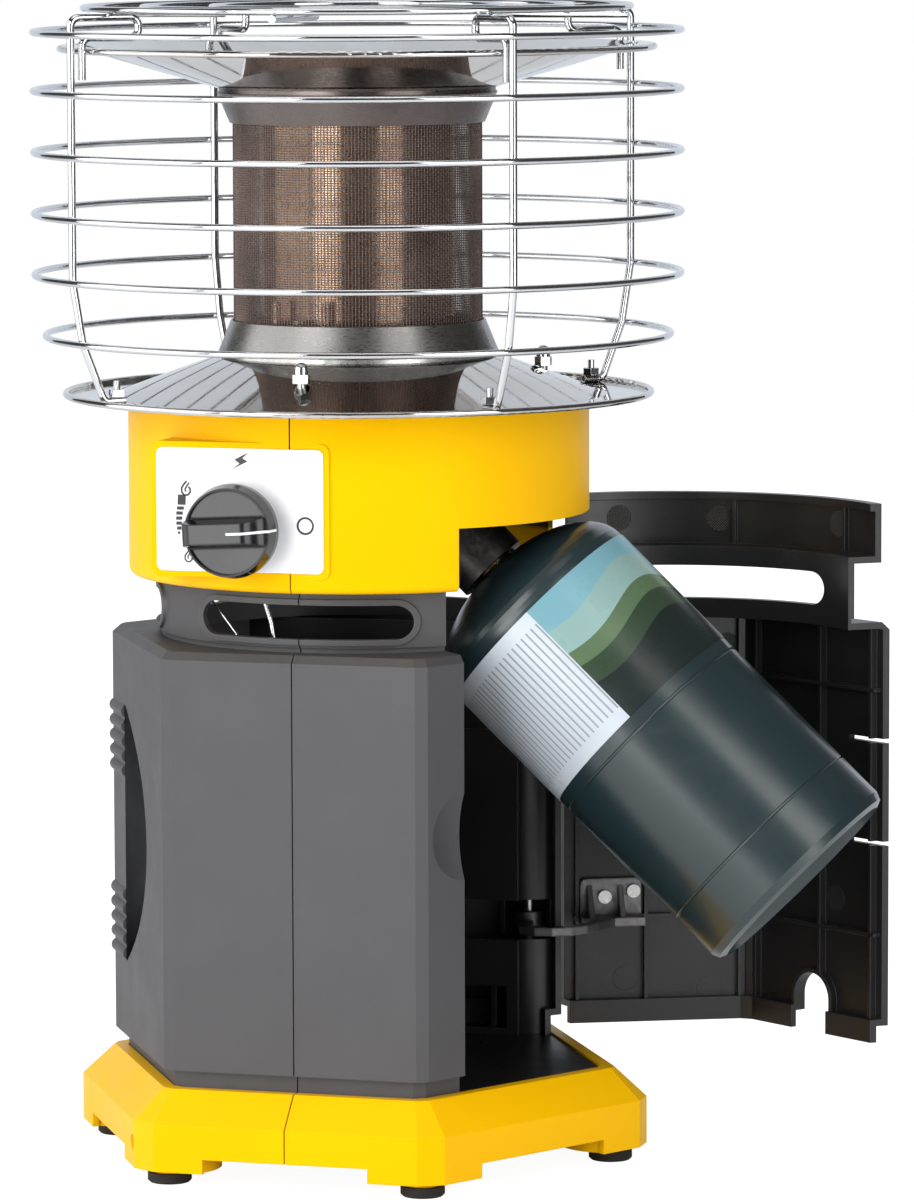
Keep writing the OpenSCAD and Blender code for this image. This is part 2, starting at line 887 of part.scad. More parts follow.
// Cast hinge arm: an eye on the pin, a hook round the pocket, a screwed plate
arm_t = 4;
arm_w = 5;
eye_d = 14;
mount_plate_w = 29;
mount_plate_h = 21;
mount_plate_r = 3;
mount_plate_t = 3;
mount_plate_u = 10;
gusset_t = 2.5;
gusset_reach = 11;
arm_screw_d = 4;
gusset_u = [-4.4, 10.2];
arm_screws = [[-10.6, 15], [3, 12.5]];
mount_a = body_apothem - body_wall - mount_plate_t;

// Middle line of the hook, from the pin, with the door closed
function hook_line() = [polar(0, -165), polar(21, -165), polar(24.5, -152),
    polar(27.5, -137), polar(29.6, -121), polar(31, -105), polar(32.4, -90),
    polar(34.8, -76), polar(39.5, -63)];

// Sideways step at a point of a bent strip, as a share of its half width
function mitre(line, i) =
    let (u = toward(line[max(i - 1, 0)], line[max(i, 1)]),
        v = i < len(line) - 1 ? toward(line[i], line[i + 1]) : u,
        n = u + v)
    2 / (n * n) * [-n.y, n.x];

module hook_bar() {
    line = hook_line();
    n = len(line);
    linear_extrude(arm_t)
        polygon(concat([for (i = [0 : n - 1]) line[i] + arm_w / 2 * mitre(line, i)],
            [for (i = [n - 1 : -1 : 0]) line[i] - arm_w / 2 * mitre(line, i)]));
}

module hinge_arm(z) {
    difference() {
        union() {
            translate([hinge_x, hinge_y, z]) {
                cylinder(d = eye_d, h = arm_t + 4);
                hook_bar();
            }
            // Plate on the inside of the door
            on_face(30, mount_a)
                translate([mount_plate_u, z + mount_plate_h / 2, 0])
                    linear_extrude(mount_plate_t)
                        round_rect(mount_plate_w, mount_plate_h, mount_plate_r);
            // Foot that joins the hook to the plate
            rotate(30)
                translate([mount_a - gusset_reach, mount_plate_u - mount_plate_w / 2, z])
                    cube([gusset_reach + mount_plate_t / 2, mount_plate_w, arm_t]);
            for (u = gusset_u)
                rotate(30)
                    translate([mount_a, mount_plate_u + u + gusset_t / 2, z + arm_t - eps])
                        rotate([90, 0, 0])
                            linear_extrude(gusset_t)
                                polygon([[eps, 0], [-gusset_reach + 2, 0],
                                    [eps, mount_plate_h - arm_t - 3]]);
        }
        translate([hinge_x, hinge_y, z - cut_margin])
            cylinder(d = hinge_pin_d + 2 * pin_play, h = 4 * arm_t);
        for (p = arm_screws)
            on_face(30, mount_a - cut_margin)
                translate([mount_plate_u + p.x, z + p.y, 0])
                    cylinder(d = arm_screw_d, h = mount_plate_t + 2 * cut_margin);
    }
}

module hinge_arm_lower() {
    color("silver")
        opened()
            hinge_arm(arm_z);
}

module hinge_arm_upper() {
    color("silver")
        opened()
            hinge_arm(arm_z + arm_spacing);
}

module hinge_screws() {
    head_t = 1.8;
    color("silver")
        opened()
            for (z = arm_heights(), p = arm_screws)
                on_face(30, mount_a)
                    translate([mount_plate_u + p.x, z + p.y, 0])
                        union() {
                            translate([0, 0, -head_t])
                                cylinder(d = 1.6 * arm_screw_d, h = head_t);
                            cylinder(d = arm_screw_d - 2 * seat_gap, h = mount_plate_t);
                        }
}

module hinge_pin() {
    color("silver")
        translate([hinge_x, hinge_y, face_z + body_wall])
            cylinder(d = hinge_pin_d, h = face_h - 2 * body_wall);
}

// ---- drum

drum_lip_r = neck_r - 6.5;
boss_w = plate_w + 2 * boss_margin;
boss_h = plate_h + 2 * boss_margin;
boss_depth = 24;
boss_corner_r = 4;
stem_hole_d = 9;
plate_corner_r = 3;

// Profile of the drum's outside, with its rounded bottom edge
module drum_profile(inset) {
    steps = 6;
    r = drum_r - inset;
    e = max(drum_edge_r - inset, 0.4);
    polygon(concat([[0, inset]],
        [for (i = [0 : steps]) [r - e + e * sin(90 * i / steps), inset + e - e * cos(90 * i / steps)]],
        [[r, drum_h + (inset > 0 ? cut_margin : 0)], [0, drum_h + (inset > 0 ? cut_margin : 0)]]));
}

module drum_boss(inset) {
    translate([plate_x, boss_y + inset, drum_z + plate_lift])
        rotate([-90, 0, 0])
            linear_extrude(boss_depth)
                round_rect(boss_w - 2 * inset, boss_h - 2 * inset, boss_corner_r - inset / 2);
}

module drum_half(side) {
    difference() {
        intersection() {
            seam_side(side);
            union() {
                translate([0, 0, drum_z])
                    rotate_extrude()
                        drum_profile(0);
                drum_boss(0);
            }
        }
        translate([0, 0, drum_z])
            rotate_extrude()
                drum_profile(drum_wall);
        drum_boss(drum_wall);
        // Flat seat of the control plate
        translate([plate_x, boss_y, drum_z + plate_lift])
            rotate([90, 0, 0])
                linear_extrude(boss_depth)
                    round_rect(plate_w + 2 * seat_gap, plate_h + 2 * seat_gap,
                        plate_corner_r + seat_gap);
        translate([0, 0, drum_z - cut_margin])
            cylinder(r = drum_lip_r, h = drum_wall + 2 * cut_margin);
        // Opening for the door's top band
        wedge(-door_front_angle, door_rear_angle, drum_z - cut_margin, notch_z);
        translate([plate_x, boss_y - cut_margin, knob_z])
            rotate([-90, 0, 0])
                cylinder(d = stem_hole_d, h = drum_wall + 2 * cut_margin);
    }
}

module drum_left() {
    color("gold")
        drum_half(-1);
}

module drum_right() {
    color("gold")
        drum_half(1);
}

top_plate_t = 2;
mixer_x = -24;
mixer_d = 20;

module drum_top_plate() {
    color("gray")
        translate([0, 0, drum_top_z - top_plate_t])
            difference() {
                cylinder(r = drum_r - drum_wall - seat_gap, h = top_plate_t);
                translate([mixer_x, 0, -cut_margin])
                    cylinder(d = mixer_d + 2 * seat_gap, h = top_plate_t + 2 * cut_margin);
                for (a = nut_angles)
                    rotate(a)
                        translate([nut_ring_r, 0, -cut_margin])
                            cylinder(d = stud_d + seat_gap, h = top_plate_t + 2 * cut_margin);
            }
}

module control_plate() {
    color("white")
        translate([plate_x, boss_y, drum_z + plate_lift])
            rotate([90, 0, 0])
                difference() {
                    linear_extrude(plate_t)
                        round_rect(plate_w, plate_h, plate_corner_r);
                    translate([0, -knob_drop, -cut_margin])
                        cylinder(d = stem_hole_d, h = plate_t + 2 * cut_margin);
                }
}

// ---- controls

knob_front_d = knob_d - 2.8;
knob_skirt = 3.5;
knob_rim_w = 0.9;
knob_dish = 2;
knob_rest_turn = 3;
bar_flat_x = 8.4;
bar_taper = 2;
bar_end_r = 5;
ramp_steps = 14;
stem_d = 6;
stem_bore_depth = 7;
stem_valve_gap = 6;
valve_w = 34;
valve_h = 38;
valve_depth = 26;
valve_y = boss_y + drum_wall + seat_gap;

// The knob, drawn with its axis along z and its back at z = 0
module knob_form() {
    difference() {
        union() {
            cylinder(d = knob_d, h = knob_skirt);
            translate([0, 0, knob_skirt])
                cylinder(d1 = knob_d, d2 = knob_front_d, h = knob_t - knob_skirt);
        }
        // Two sunk half-moons beside the finger bar
        translate([0, 0, knob_t - knob_dish])
            difference() {
                cylinder(d = knob_front_d - 2 * knob_rim_w, h = knob_dish + cut_margin);
                translate([-knob_d, -bar_w / 2 - seat_gap, -cut_margin])
                    cube([2 * knob_d, bar_w + 2 * seat_gap, knob_dish + 3 * cut_margin]);
            }
        translate([0, 0, -cut_margin])
            cylinder(d = stem_d + 2 * pin_play, h = stem_bore_depth + cut_margin);
    }
    finger_bar();
}

// Finger bar: rounded at one end, sloping to the rim at the other
module finger_bar() {
    low_z = knob_t - cut_margin;
    top_z = knob_t + bar_h;
    r = knob_front_d / 2 - seat_gap;
    intersection() {
        translate([0, 0, low_z])
            cylinder(r = r, h = bar_h + 2 * cut_margin);
        translate([0, r, 0])
            rotate([90, 0, 0])
                linear_extrude(knob_d)
                    polygon(concat([[-r, low_z]],
                        [for (a = [0 : 10 : 90])
                            [-r + bar_end_r * (1 - cos(a)), top_z - bar_end_r * (1 - sin(a))]],
                        [for (i = [0 : ramp_steps])
                            [bar_flat_x + (r - bar_flat_x) * i / ramp_steps,
                                knob_t + bar_h * (1 + cos(180 * i / ramp_steps)) / 2]],
                        [[r, low_z]]));
        translate([-r, 0, 0])
            rotate([90, 0, 90])
                linear_extrude(knob_d)
                    polygon([[-bar_w / 2, low_z], [bar_w / 2, low_z],
                        [bar_w / 2 - bar_taper, top_z], [bar_taper - bar_w / 2, top_z]]);
    }
}

module knob() {
    color([0.1, 0.1, 0.11])
        translate([plate_x, knob_back_y, knob_z])
            rotate([90, 0, 0])
                rotate([0, 0, knob_rest_turn])
                    knob_form();
}

module valve_stem() {
    color("silver")
        translate([plate_x, knob_back_y - stem_bore_depth + body_gap, knob_z])
            rotate([-90, 0, 0])
                cylinder(d = stem_d, h = valve_y + stem_valve_gap - knob_back_y
                    + stem_bore_depth - body_gap);
}

module gas_valve() {
    bore = stem_d + 2 * pin_play;
    color("goldenrod")
        difference() {
            union() {
                translate([plate_x - valve_w / 2, valve_y, knob_z - valve_h / 2])
                    cube([valve_w, valve_depth, valve_h]);
                translate([plate_x, valve_y + valve_depth - eps, knob_z])
                    rotate([-90, 0, 0])
                        cylinder(d = 12, h = 6);
                translate([plate_x + valve_w / 2 - eps, valve_y + valve_depth / 2, knob_z])
                    rotate([0, 90, 0])
                        cylinder(d = 12, h = 5);
            }
            translate([plate_x, valve_y - cut_margin, knob_z])
                rotate([-90, 0, 0])
                    cylinder(d = bore, h = stem_valve_gap + knob_push + 2 * cut_margin);
        }
}

module piezo_igniter() {
    color("dimgray")
        translate([plate_x - valve_w / 2 - 12, valve_y + 6, knob_z - valve_h / 2])
            cube([12, 18, 30]);
}

tube_d = 6;

module valve_inlet_tube() {
    color("silver")
        lead([
            [plate_x + valve_w / 2 + 5, valve_y + valve_depth / 2, knob_z],
            [swing_x, valve_y + valve_depth / 2, knob_z],
            [swing_x, valve_y + valve_depth / 2, swing_z],
            [swing_x, -bracket_half_w() - bracket_t - swivel_l, swing_z]
        ], tube_d);
}

module valve_outlet_tube() {
    color("silver")
        lead([
            [plate_x, valve_y + valve_depth + 6, knob_z],
            [plate_x, -14, knob_z],
            [mixer_x, 0, knob_z + 5],
            [mixer_x, 0, injector_z]
        ], tube_d);
}

injector_h = 14;
mixer_h = 36;
mixer_z = burner_z - end_plate_t - mixer_h;
injector_z = mixer_z - injector_h;
mixer_wall = 1.2;

module injector() {
    color("goldenrod")
        translate([mixer_x, 0, injector_z])
            cylinder(d = 12, h = injector_h, $fn = 6);
}

module mixer_tube() {
    color("silver")
        translate([mixer_x, 0, mixer_z])
            difference() {
                cylinder(d = mixer_d, h = mixer_h);
                translate([0, 0, 2])
                    cylinder(d = mixer_d - 2 * mixer_wall, h = mixer_h);
                for (a = [0 : 90 : 270])
                    rotate(a + 45)
                        translate([0, 0, 8])
                            rotate([0, 90, 0])
                                cylinder(d = 6, h = mixer_d);
            }
}

module tip_over_switch() {
    color("dimgray")
        translate([-30, -40, floor_z - floor_t - 14])
            cube([28, 20, 14]);
}

lead_d = 2;
thin_lead_d = 1.2;
lead_inset = 8;
lead_y = -(neck_r - body_wall - lead_inset);

// The switch lead comes down from the valve, behind the front vent slot
module switch_lead() {
    color("silver")
        lead([
            [-22, lead_y, knob_z - valve_h / 2],
            [-21.5, lead_y, drum_z + 2],
            [-19, lead_y, drum_z - 8],
            [-16.5, lead_y, drum_z - 16],
            [-15, lead_y, drum_z - 26],
            [-14, lead_y, floor_z]
        ], lead_d);
}

module sensor_lead() {
    color("silver")
        lead([
            [-50.2, lead_y + 13.2, drum_z + drum_wall / 2],
            [-50, lead_y + 13.5, drum_z - 6],
            [-36, lead_y + 9.5, drum_z - 22],
            [-26, lead_y + 5.5, drum_z - 40],
            [-24, lead_y + 5.5, floor_z]
        ], thin_lead_d);
}

// ---- bottle swing

bracket_t = 2.5;
bracket_gap = 0.5;
bracket_depth = 44;
swivel_l = 8;
regulator_d = 34;
regulator_top = 0.6 * regulator_reach;
cap_drop = 4;
bracket_side_gap = 4;
bracket_end_drop = 24;
cap_d = 20;
eye_r = 13;
eye_w = 24;
socket_gap = 0.3;
shoulder_gap = 0.5;
socket_grip = bottle_valve_h - shoulder_gap;
valve_d = 25.4;

function bracket_half_w() = regulator_d / 2 + bracket_gap + bracket_side_gap;

module swing_bracket() {
    half_w = bracket_half_w();
    top = drum_top_z - top_plate_t;
    color("lightgray")
        difference() {
            union() {
                for (s = [-1, 1])
                    translate([0, s > 0 ? half_w : -half_w - bracket_t, 0])
                        rotate([90, 0, 0])
                            mirror([0, 0, 1])
                                linear_extrude(bracket_t)
                                    polygon([
                                        [swing_x - eye_r, top],
                                        [swing_x - eye_r, swing_z - eye_r],
                                        [swing_x + eye_r, swing_z - eye_r],
                                        [swing_x + bracket_depth, swing_z - bracket_end_drop],
                                        [swing_x + bracket_depth, top]
                                    ]);
                translate([swing_x - eye_r, -half_w - bracket_t, top - bracket_t])
                    cube([bracket_depth + eye_r, 2 * half_w + 2 * bracket_t, bracket_t]);
            }
            translate([swing_x, -far / 2, swing_z])
                rotate([-90, 0, 0])
                    cylinder(d = swing_pin_d, h = far);
        }
}

module swing_pin() {
    half_w = bracket_half_w();
    color("silver")
        translate([swing_x, -half_w - bracket_t - swivel_l, swing_z])
            rotate([-90, 0, 0])
                cylinder(d = swing_pin_d, h = 2 * half_w + 2 * bracket_t + swivel_l + 3);
}

// The regulator hangs from the pin; z runs down to the bottle
regulator_l = regulator_reach + socket_grip;

module regulator() {
    color("darkgray")
        swung()
            difference() {
                union() {
                    translate([0, eye_w / 2, 0])
                        rotate([90, 0, 0])
                            cylinder(r = eye_r, h = eye_w);
                    translate([-9, -eye_w / 2, -regulator_top])
                        cube([18, eye_w, regulator_top]);
                    translate([0, 0, -regulator_l])
                        cylinder(d = regulator_d, h = regulator_l - regulator_top + 8);
                    translate([0, 0, -regulator_top - cap_drop])
                        rotate([0, -90, 0])
                            cylinder(d = cap_d, h = regulator_d / 2 + 1);
                }
                translate([0, far / 2, 0])
                    rotate([90, 0, 0])
                        cylinder(d = swing_pin_d + 2 * pin_play, h = far);
                translate([0, 0, -regulator_l - cut_margin])
                    cylinder(d = valve_d + 2 * socket_gap,
                        h = socket_grip + socket_gap + cut_margin);
            }
}

module regulator_cap() {
    color("darkgray")
        swung()
            translate([-regulator_d / 2 - 1 - seat_gap, 0, -regulator_top - cap_drop])
                rotate([0, -90, 0])
                    cylinder(d1 = cap_d, d2 = cap_d - 2, h = 5);
}

bottle_wall = 1;
dome_steps = 14;
dome_arc = 72;
heel_h = 5;

// Half outline of the bottle, shrunk by an inset; the bottom is dished
function bottle_profile(t) = concat(
    [[0, 9 + t], [bottle_r - 10, 5.5 + t], [bottle_r - 6.5, 1.5 + t], [bottle_r - heel_h, t],
        [bottle_r - 0.3 * heel_h - 0.3 * t, 0.3 * heel_h + 0.3 * t], [bottle_r - t, heel_h]],
    [for (i = [0 : dome_steps]) let (a = dome_arc * i / dome_steps)
        [(bottle_r - t) * cos(a), bottle_side_h + (bottle_dome_h - t) * sin(a)]],
    [[bottle_valve_d / 2 - t, bottle_side_h + bottle_dome_h - t],
        [0, bottle_side_h + bottle_dome_h - t]]
);
bottle_valve_d = 22;
valve_shank_h = 1.5;
valve_plug_d = 14;
valve_plug_h = 8;
groove_depth = 0.6;
groove_w = 1.6;
groove_heights = [27, 95];

module gas_bottle() {
    color([0.1, 0.22, 0.22])
        swung()
            translate([0, 0, -swing_len])
                difference() {
                    rotate_extrude()
                        polygon(bottle_profile(0));
                    rotate_extrude()
                        polygon(bottle_profile(bottle_wall));
                    translate([0, 0, bottle_side_h])
                        cylinder(d = valve_plug_d, h = bottle_h);
                    // Two rolled grooves round the side
                    for (h = groove_heights)
                        translate([0, 0, h])
                            rotate_extrude()
                                translate([bottle_r + groove_w / 2 - groove_depth, 0])
                                    circle(d = groove_w, $fn = 24);
                }
}

module bottle_valve() {
    top = bottle_side_h + bottle_dome_h;
    color("goldenrod")
        swung()
            translate([0, 0, -swing_len + top])
                union() {
                    translate([0, 0, -valve_plug_h])
                        cylinder(d = valve_plug_d, h = valve_plug_h + eps);
                    cylinder(d = bottle_valve_d, h = valve_shank_h + eps);
                    translate([0, 0, valve_shank_h])
                        cylinder(d = valve_d, h = bottle_valve_h - valve_shank_h);
                }
}

label_low = 101.5;
label_top = 166.5;
label_t = 0.3;

module bottle_label() {
    color([0.7, 0.85, 0.85])
        swung()
            translate([0, 0, -swing_len + label_low])
                difference() {
                    cylinder(r = bottle_r + label_t, h = label_top - label_low);
                    translate([0, 0, -cut_margin])
                        cylinder(r = bottle_r, h = label_top - label_low + 2 * cut_margin);
                }
}

// ---- burner

module burner_base_plate() {
    color("silver")
        translate([0, 0, burner_z - end_plate_t])
            difference() {
                cylinder(r = collar_r - sheet_t, h = end_plate_t);
                translate([mixer_x, 0, -cut_margin])
                    cylinder(d = mixer_d - 2 * mixer_wall, h = end_plate_t + 2 * cut_margin);
            }
}

module burner_tube() {
    color("silver")
        difference() {
            translate([0, 0, burner_z])
                cylinder(r = core_r, h = burner_h);
            translate([0, 0, burner_z - cut_margin])
                cylinder(r = core_r - 1.2, h = burner_h + 2 * cut_margin);
        }
}

screen_t = 0.8;

module burner_screen() {
    color([0.5, 0.45, 0.4])
        translate([0, 0, burner_z])
            difference() {
                cylinder(r = screen_r, h = burner_h);
                translate([0, 0, -cut_margin])
                    cylinder(r = screen_r - screen_t, h = burner_h + 2 * cut_margin);
            }
}

// A collar: a thin cone between the screen and an end plate
module collar(wide_r, narrow_r, h) {
    difference() {
        cylinder(r1 = wide_r, r2 = narrow_r, h = h);
        translate([0, 0, -eps])
            cylinder(r1 = wide_r - sheet_t, r2 = narrow_r - sheet_t, h = h + 2 * eps);
    }
}

collar_narrow_r = screen_r + sheet_t + seat_gap;

module lower_collar() {
    color("silver")
        translate([0, 0, burner_z])
            collar(collar_r, collar_narrow_r, collar_low_h);
}

module upper_collar() {
    color("silver")
        translate([0, 0, burner_top_z])
            mirror([0, 0, 1])
                collar(collar_r, collar_narrow_r, collar_top_h);
}

module burner_top_plate() {
    color("silver")
        translate([0, 0, burner_top_z])
            difference() {
                cylinder(r = collar_r - sheet_t, h = end_plate_t);
                for (a = rod_angles)
                    rotate(a)
                        translate([rod_ring_r, 0, -cut_margin])
                            cylinder(d = rod_d, h = end_plate_t + 2 * cut_margin);
            }
}

rod_angles = [90, 210, 330];
rod_ring_r = 34;
rod_d = 5;
rod_nut_h = 4;

module burner_tie_rods() {
    color("silver")
        for (a = rod_angles)
            rotate(a)
                translate([rod_ring_r, 0, burner_z])
                    union() {
                        cylinder(d = rod_d, h = burner_h + end_plate_t + sheet_t + rod_nut_h + 1);
                        translate([0, 0, burner_h + end_plate_t + sheet_t])
                            cylinder(d = 9, h = rod_nut_h, $fn = 6);
                    }
}

// Pilot jet between its spark electrode and its flame sensor
pilot_angle = -105;
pilot_step = 15;

module pilot_burner() {
    ring = (core_r + screen_r - screen_t) / 2;
    color("silver")
        for (i = [-1 : 1])
            rotate(pilot_angle + i * pilot_step)
                translate([ring, 0, burner_z])
                    cylinder(d = i == 0 ? 7 : 4, h = i == 0 ? 16 : 24);
}

// ---- reflectors

module lower_reflector() {
    flat_r = dish_r - roll_d / 2;
    color([0.75, 0.74, 0.72])
        difference() {
            translate([0, 0, drum_top_z])
                rotate_extrude()
                    union() {
                        polygon([
                            [collar_r - 6, dish_rise], [collar_r, dish_rise],
                            [dish_cone_r, 0], [flat_r, 0], [flat_r, sheet_t],
                            [dish_cone_r, sheet_t], [collar_r, dish_rise + sheet_t],
                            [collar_r - 6, dish_rise + sheet_t]
                        ]);
                        translate([flat_r, roll_d / 2])
                            circle(d = roll_d, $fn = 32);
                    }
            for (a = nut_angles)
                rotate(a)
                    translate([nut_ring_r, 0, 0])
                        cylinder(d = stud_d + seat_gap, h = far * 2);
        }
}

module upper_reflector() {
    flat_r = hood_r - roll_d / 2;
    rim_w_flat = 6;
    color([0.75, 0.74, 0.72])
        difference() {
            translate([0, 0, hood_z])
                rotate_extrude()
                    union() {
                        polygon([
                            [0, 0], [collar_r, 0], [flat_r - rim_w_flat, hood_rise],
                            [flat_r, hood_rise], [flat_r, hood_rise + sheet_t],
                            [flat_r - rim_w_flat, hood_rise + sheet_t],
                            [collar_r, sheet_t], [0, sheet_t]
                        ]);
                        translate([flat_r, hood_rise + sheet_t - roll_d / 2])
                            circle(d = roll_d, $fn = 32);
                    }
            for (a = rod_angles)
                rotate(a)
                    translate([rod_ring_r, 0, 0])
                        cylinder(d = rod_d, h = far * 2);
        }
}

nut_angles = [-90, 30, 150];
stud_d = 4;
nut_across = 7;
cap_nut_h = 4;
cone_slope = dish_rise / (dish_cone_r - collar_r);
nut_z = dish_z + (dish_cone_r - nut_ring_r + nut_across / 2 / cos(30)) * cone_slope;

module reflector_studs() {
    color("silver")
        for (a = nut_angles)
            rotate(a)
                translate([nut_ring_r, 0, drum_top_z - top_plate_t - 3])
                    cylinder(d = stud_d, h = nut_z - drum_top_z + top_plate_t + 3 + cap_nut_h);
}

module cap_nuts() {
    color("silver")
        for (a = nut_angles)
            rotate(a)
                translate([nut_ring_r, 0, nut_z])
                    difference() {
                        union() {
                            cylinder(d = nut_across / cos(30), h = cap_nut_h, $fn = 6);
                            translate([0, 0, cap_nut_h - eps])
                                cylinder(d = nut_across - 0.6, h = 2);
                            translate([0, 0, cap_nut_h + 2 - eps])
                                sphere(d = nut_across - 0.6);
                        }
                        translate([0, 0, -cut_margin])
                            cylinder(d = stud_d, h = cap_nut_h + cut_margin);
                    }
}

// ---- guard

ring_low_z = dish_z + ring_low_h;

// Heights of the guard rings, from the lowest up
function guard_ring_z(i) = ring_low_z + i * ring_pitch;
top_ring_z = guard_ring_z(4) + ring_top_gap;

module wire_ring(r, z) {
    translate([0, 0, z])
        rotate_extrude()
            translate([r, 0])
                circle(d = ring_wire, $fn = 32);
}

module guard_ring(i) {
    color("silver")
        wire_ring(i == 0 ? ring_low_r : ring_r, guard_ring_z(i));
}

module guard_ring_1() { guard_ring(0); }
module guard_ring_2() { guard_ring(1); }
module guard_ring_3() { guard_ring(2); }
module guard_ring_4() { guard_ring(3); }
module guard_ring_5() { guard_ring(4); }

module guard_top_ring() {
    color("silver")
        wire_ring(ring_r, top_ring_z);
}

post_angles = [45, 135, 225, 315];
post_foot_out_r = dish_r - 6;
post_top_z = top_ring_z + 7.5;
loop_in_r = 109;
hook_r = hood_r + post_wire / 2 + 0.4;
hook_end_z = hood_rim_z - 13;
foot_wire_z = dish_z + post_wire / 2;

module guard_posts() {
    color("silver")
        for (a = post_angles)
            rotate(a)
                bent_wire([
                    [post_foot_r - 4, foot_wire_z],
                    [post_foot_out_r, foot_wire_z],
                    [post_low_r, ring_low_z],
                    [post_r, guard_ring_z(1)],
                    [post_r, post_top_z],
                    [loop_in_r, post_top_z],
                    [loop_in_r, post_top_z - 2 * wire_bend_r],
                    [hook_r, post_top_z - 2 * wire_bend_r + 0.2],
                    [hook_r, hook_end_z]
                ], post_wire, wire_bend_r - 0.6);
}

module guard_foot_nuts() {
    color("silver")
        for (a = post_angles)
            rotate(a)
                translate([post_foot_r, 0, dish_z + post_wire])
                    union() {
                        cylinder(d = 7 / cos(30), h = 3.2, $fn = 6);
                        cylinder(d = 3, h = 7);
                    }
}

grille_z = post_top_z + (post_wire + ring_wire) / 2 - weld_sink;
grille_radii = [grille_r - ring_wire / 2, 96, 65];

module grille_rings() {
    color("silver")
        for (r = grille_radii)
            wire_ring(r, grille_z);
}

module grille_spokes() {
    spoke_z = grille_z - (ring_wire + post_wire) / 2 + weld_sink;
    color("silver")
        for (a = [0, 90, 180, 270])
            rotate(a)
                translate([grille_radii[2] - 3, 0, spoke_z])
                    rotate([0, 90, 0])
                        cylinder(d = post_wire, h = grille_radii[0] - grille_radii[2] + 6);
}

base_left();
base_right();
rubber_feet();
foot_screws();
floor_plate();
body_left_shell();
body_front_right_shell();
body_rear_right_shell();
bottle_bay_liner();
door();
hinge_arm_lower();
hinge_arm_upper();
hinge_screws();
hinge_pin();
drum_left();
drum_right();
drum_top_plate();
control_plate();
knob();
valve_stem();
gas_valve();
piezo_igniter();
valve_inlet_tube();
valve_outlet_tube();
injector();
mixer_tube();
tip_over_switch();
switch_lead();
sensor_lead();
swing_bracket();
swing_pin();
regulator();
regulator_cap();
gas_bottle();
bottle_valve();
bottle_label();
burner_base_plate();
burner_tube();
burner_screen();
lower_collar();
upper_collar();
burner_top_plate();
burner_tie_rods();
pilot_burner();
lower_reflector();
upper_reflector();
reflector_studs();
cap_nuts();
guard_ring_1();
guard_ring_2();
guard_ring_3();
guard_ring_4();
guard_ring_5();
guard_top_ring();
guard_posts();
guard_foot_nuts();
grille_rings();
grille_spokes();
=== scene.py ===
import math

import bmesh
import bpy
from mathutils import Matrix, Vector


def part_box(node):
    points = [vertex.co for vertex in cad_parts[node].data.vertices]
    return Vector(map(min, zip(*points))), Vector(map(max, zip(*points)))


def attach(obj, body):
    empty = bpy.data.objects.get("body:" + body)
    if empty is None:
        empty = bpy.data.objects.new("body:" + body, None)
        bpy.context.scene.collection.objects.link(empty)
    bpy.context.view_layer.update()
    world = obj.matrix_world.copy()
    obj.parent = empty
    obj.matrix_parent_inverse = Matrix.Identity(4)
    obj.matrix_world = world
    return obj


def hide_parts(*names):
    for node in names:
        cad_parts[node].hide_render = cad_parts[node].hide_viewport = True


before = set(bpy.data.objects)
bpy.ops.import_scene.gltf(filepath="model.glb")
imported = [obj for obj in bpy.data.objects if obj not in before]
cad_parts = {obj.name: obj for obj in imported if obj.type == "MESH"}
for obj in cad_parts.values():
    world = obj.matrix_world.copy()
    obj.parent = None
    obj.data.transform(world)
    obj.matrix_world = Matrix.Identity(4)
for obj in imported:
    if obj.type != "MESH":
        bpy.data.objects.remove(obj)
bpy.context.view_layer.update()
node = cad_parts
scene = bpy.context.scene
MM = 0.001

# ------------------------------------------------------------------ camera
# A long lens a little above the drum, turned to the right of the front, so
# that the open doorway and the swung bottle are both in view.
view_turn = math.radians(16.916)
view_dip = math.radians(6.35)
view_roll = math.radians(0.269)
view_distance = 2.89831
view_height = 0.57271

ahead = Vector((-math.sin(view_turn) * math.cos(view_dip),
                math.cos(view_turn) * math.cos(view_dip), -math.sin(view_dip)))
across = Vector((math.cos(view_turn), math.sin(view_turn), 0))
upward = across.cross(ahead)
across_rolled = across * math.cos(view_roll) - upward * math.sin(view_roll)
upward_rolled = across * math.sin(view_roll) + upward * math.cos(view_roll)
lens = bpy.data.cameras.new("camera")
lens.sensor_fit = "VERTICAL"
lens.sensor_height = 36
lens.lens = 193.51
lens.shift_x = 0.08116
lens.clip_end = 20
camera = bpy.data.objects.new("camera", lens)
camera.location = (math.sin(view_turn) * view_distance,
                   -math.cos(view_turn) * view_distance, view_height)
camera.rotation_euler = Matrix((across_rolled, upward_rolled, -ahead)).transposed().to_euler()
scene.collection.objects.link(camera)
scene.camera = camera
scene.view_settings.view_transform = "Standard"

# ------------------------------------------------------------------ studio
# A white floor that fades into a white room, two tall soft boxes in front, a
# dim white wall on the left, a white card behind and a soft box overhead.
def light_path(nodes, links, kind, low, high, out):
    """Shows one shader to a kind of ray and another to the rest."""
    path = nodes.new("ShaderNodeLightPath")
    mix = nodes.new("ShaderNodeMixShader")
    links.new(path.outputs[kind], mix.inputs["Fac"])
    links.new(low, mix.inputs[1])
    links.new(high, mix.inputs[2])
    links.new(mix.outputs["Shader"], out)
    return mix


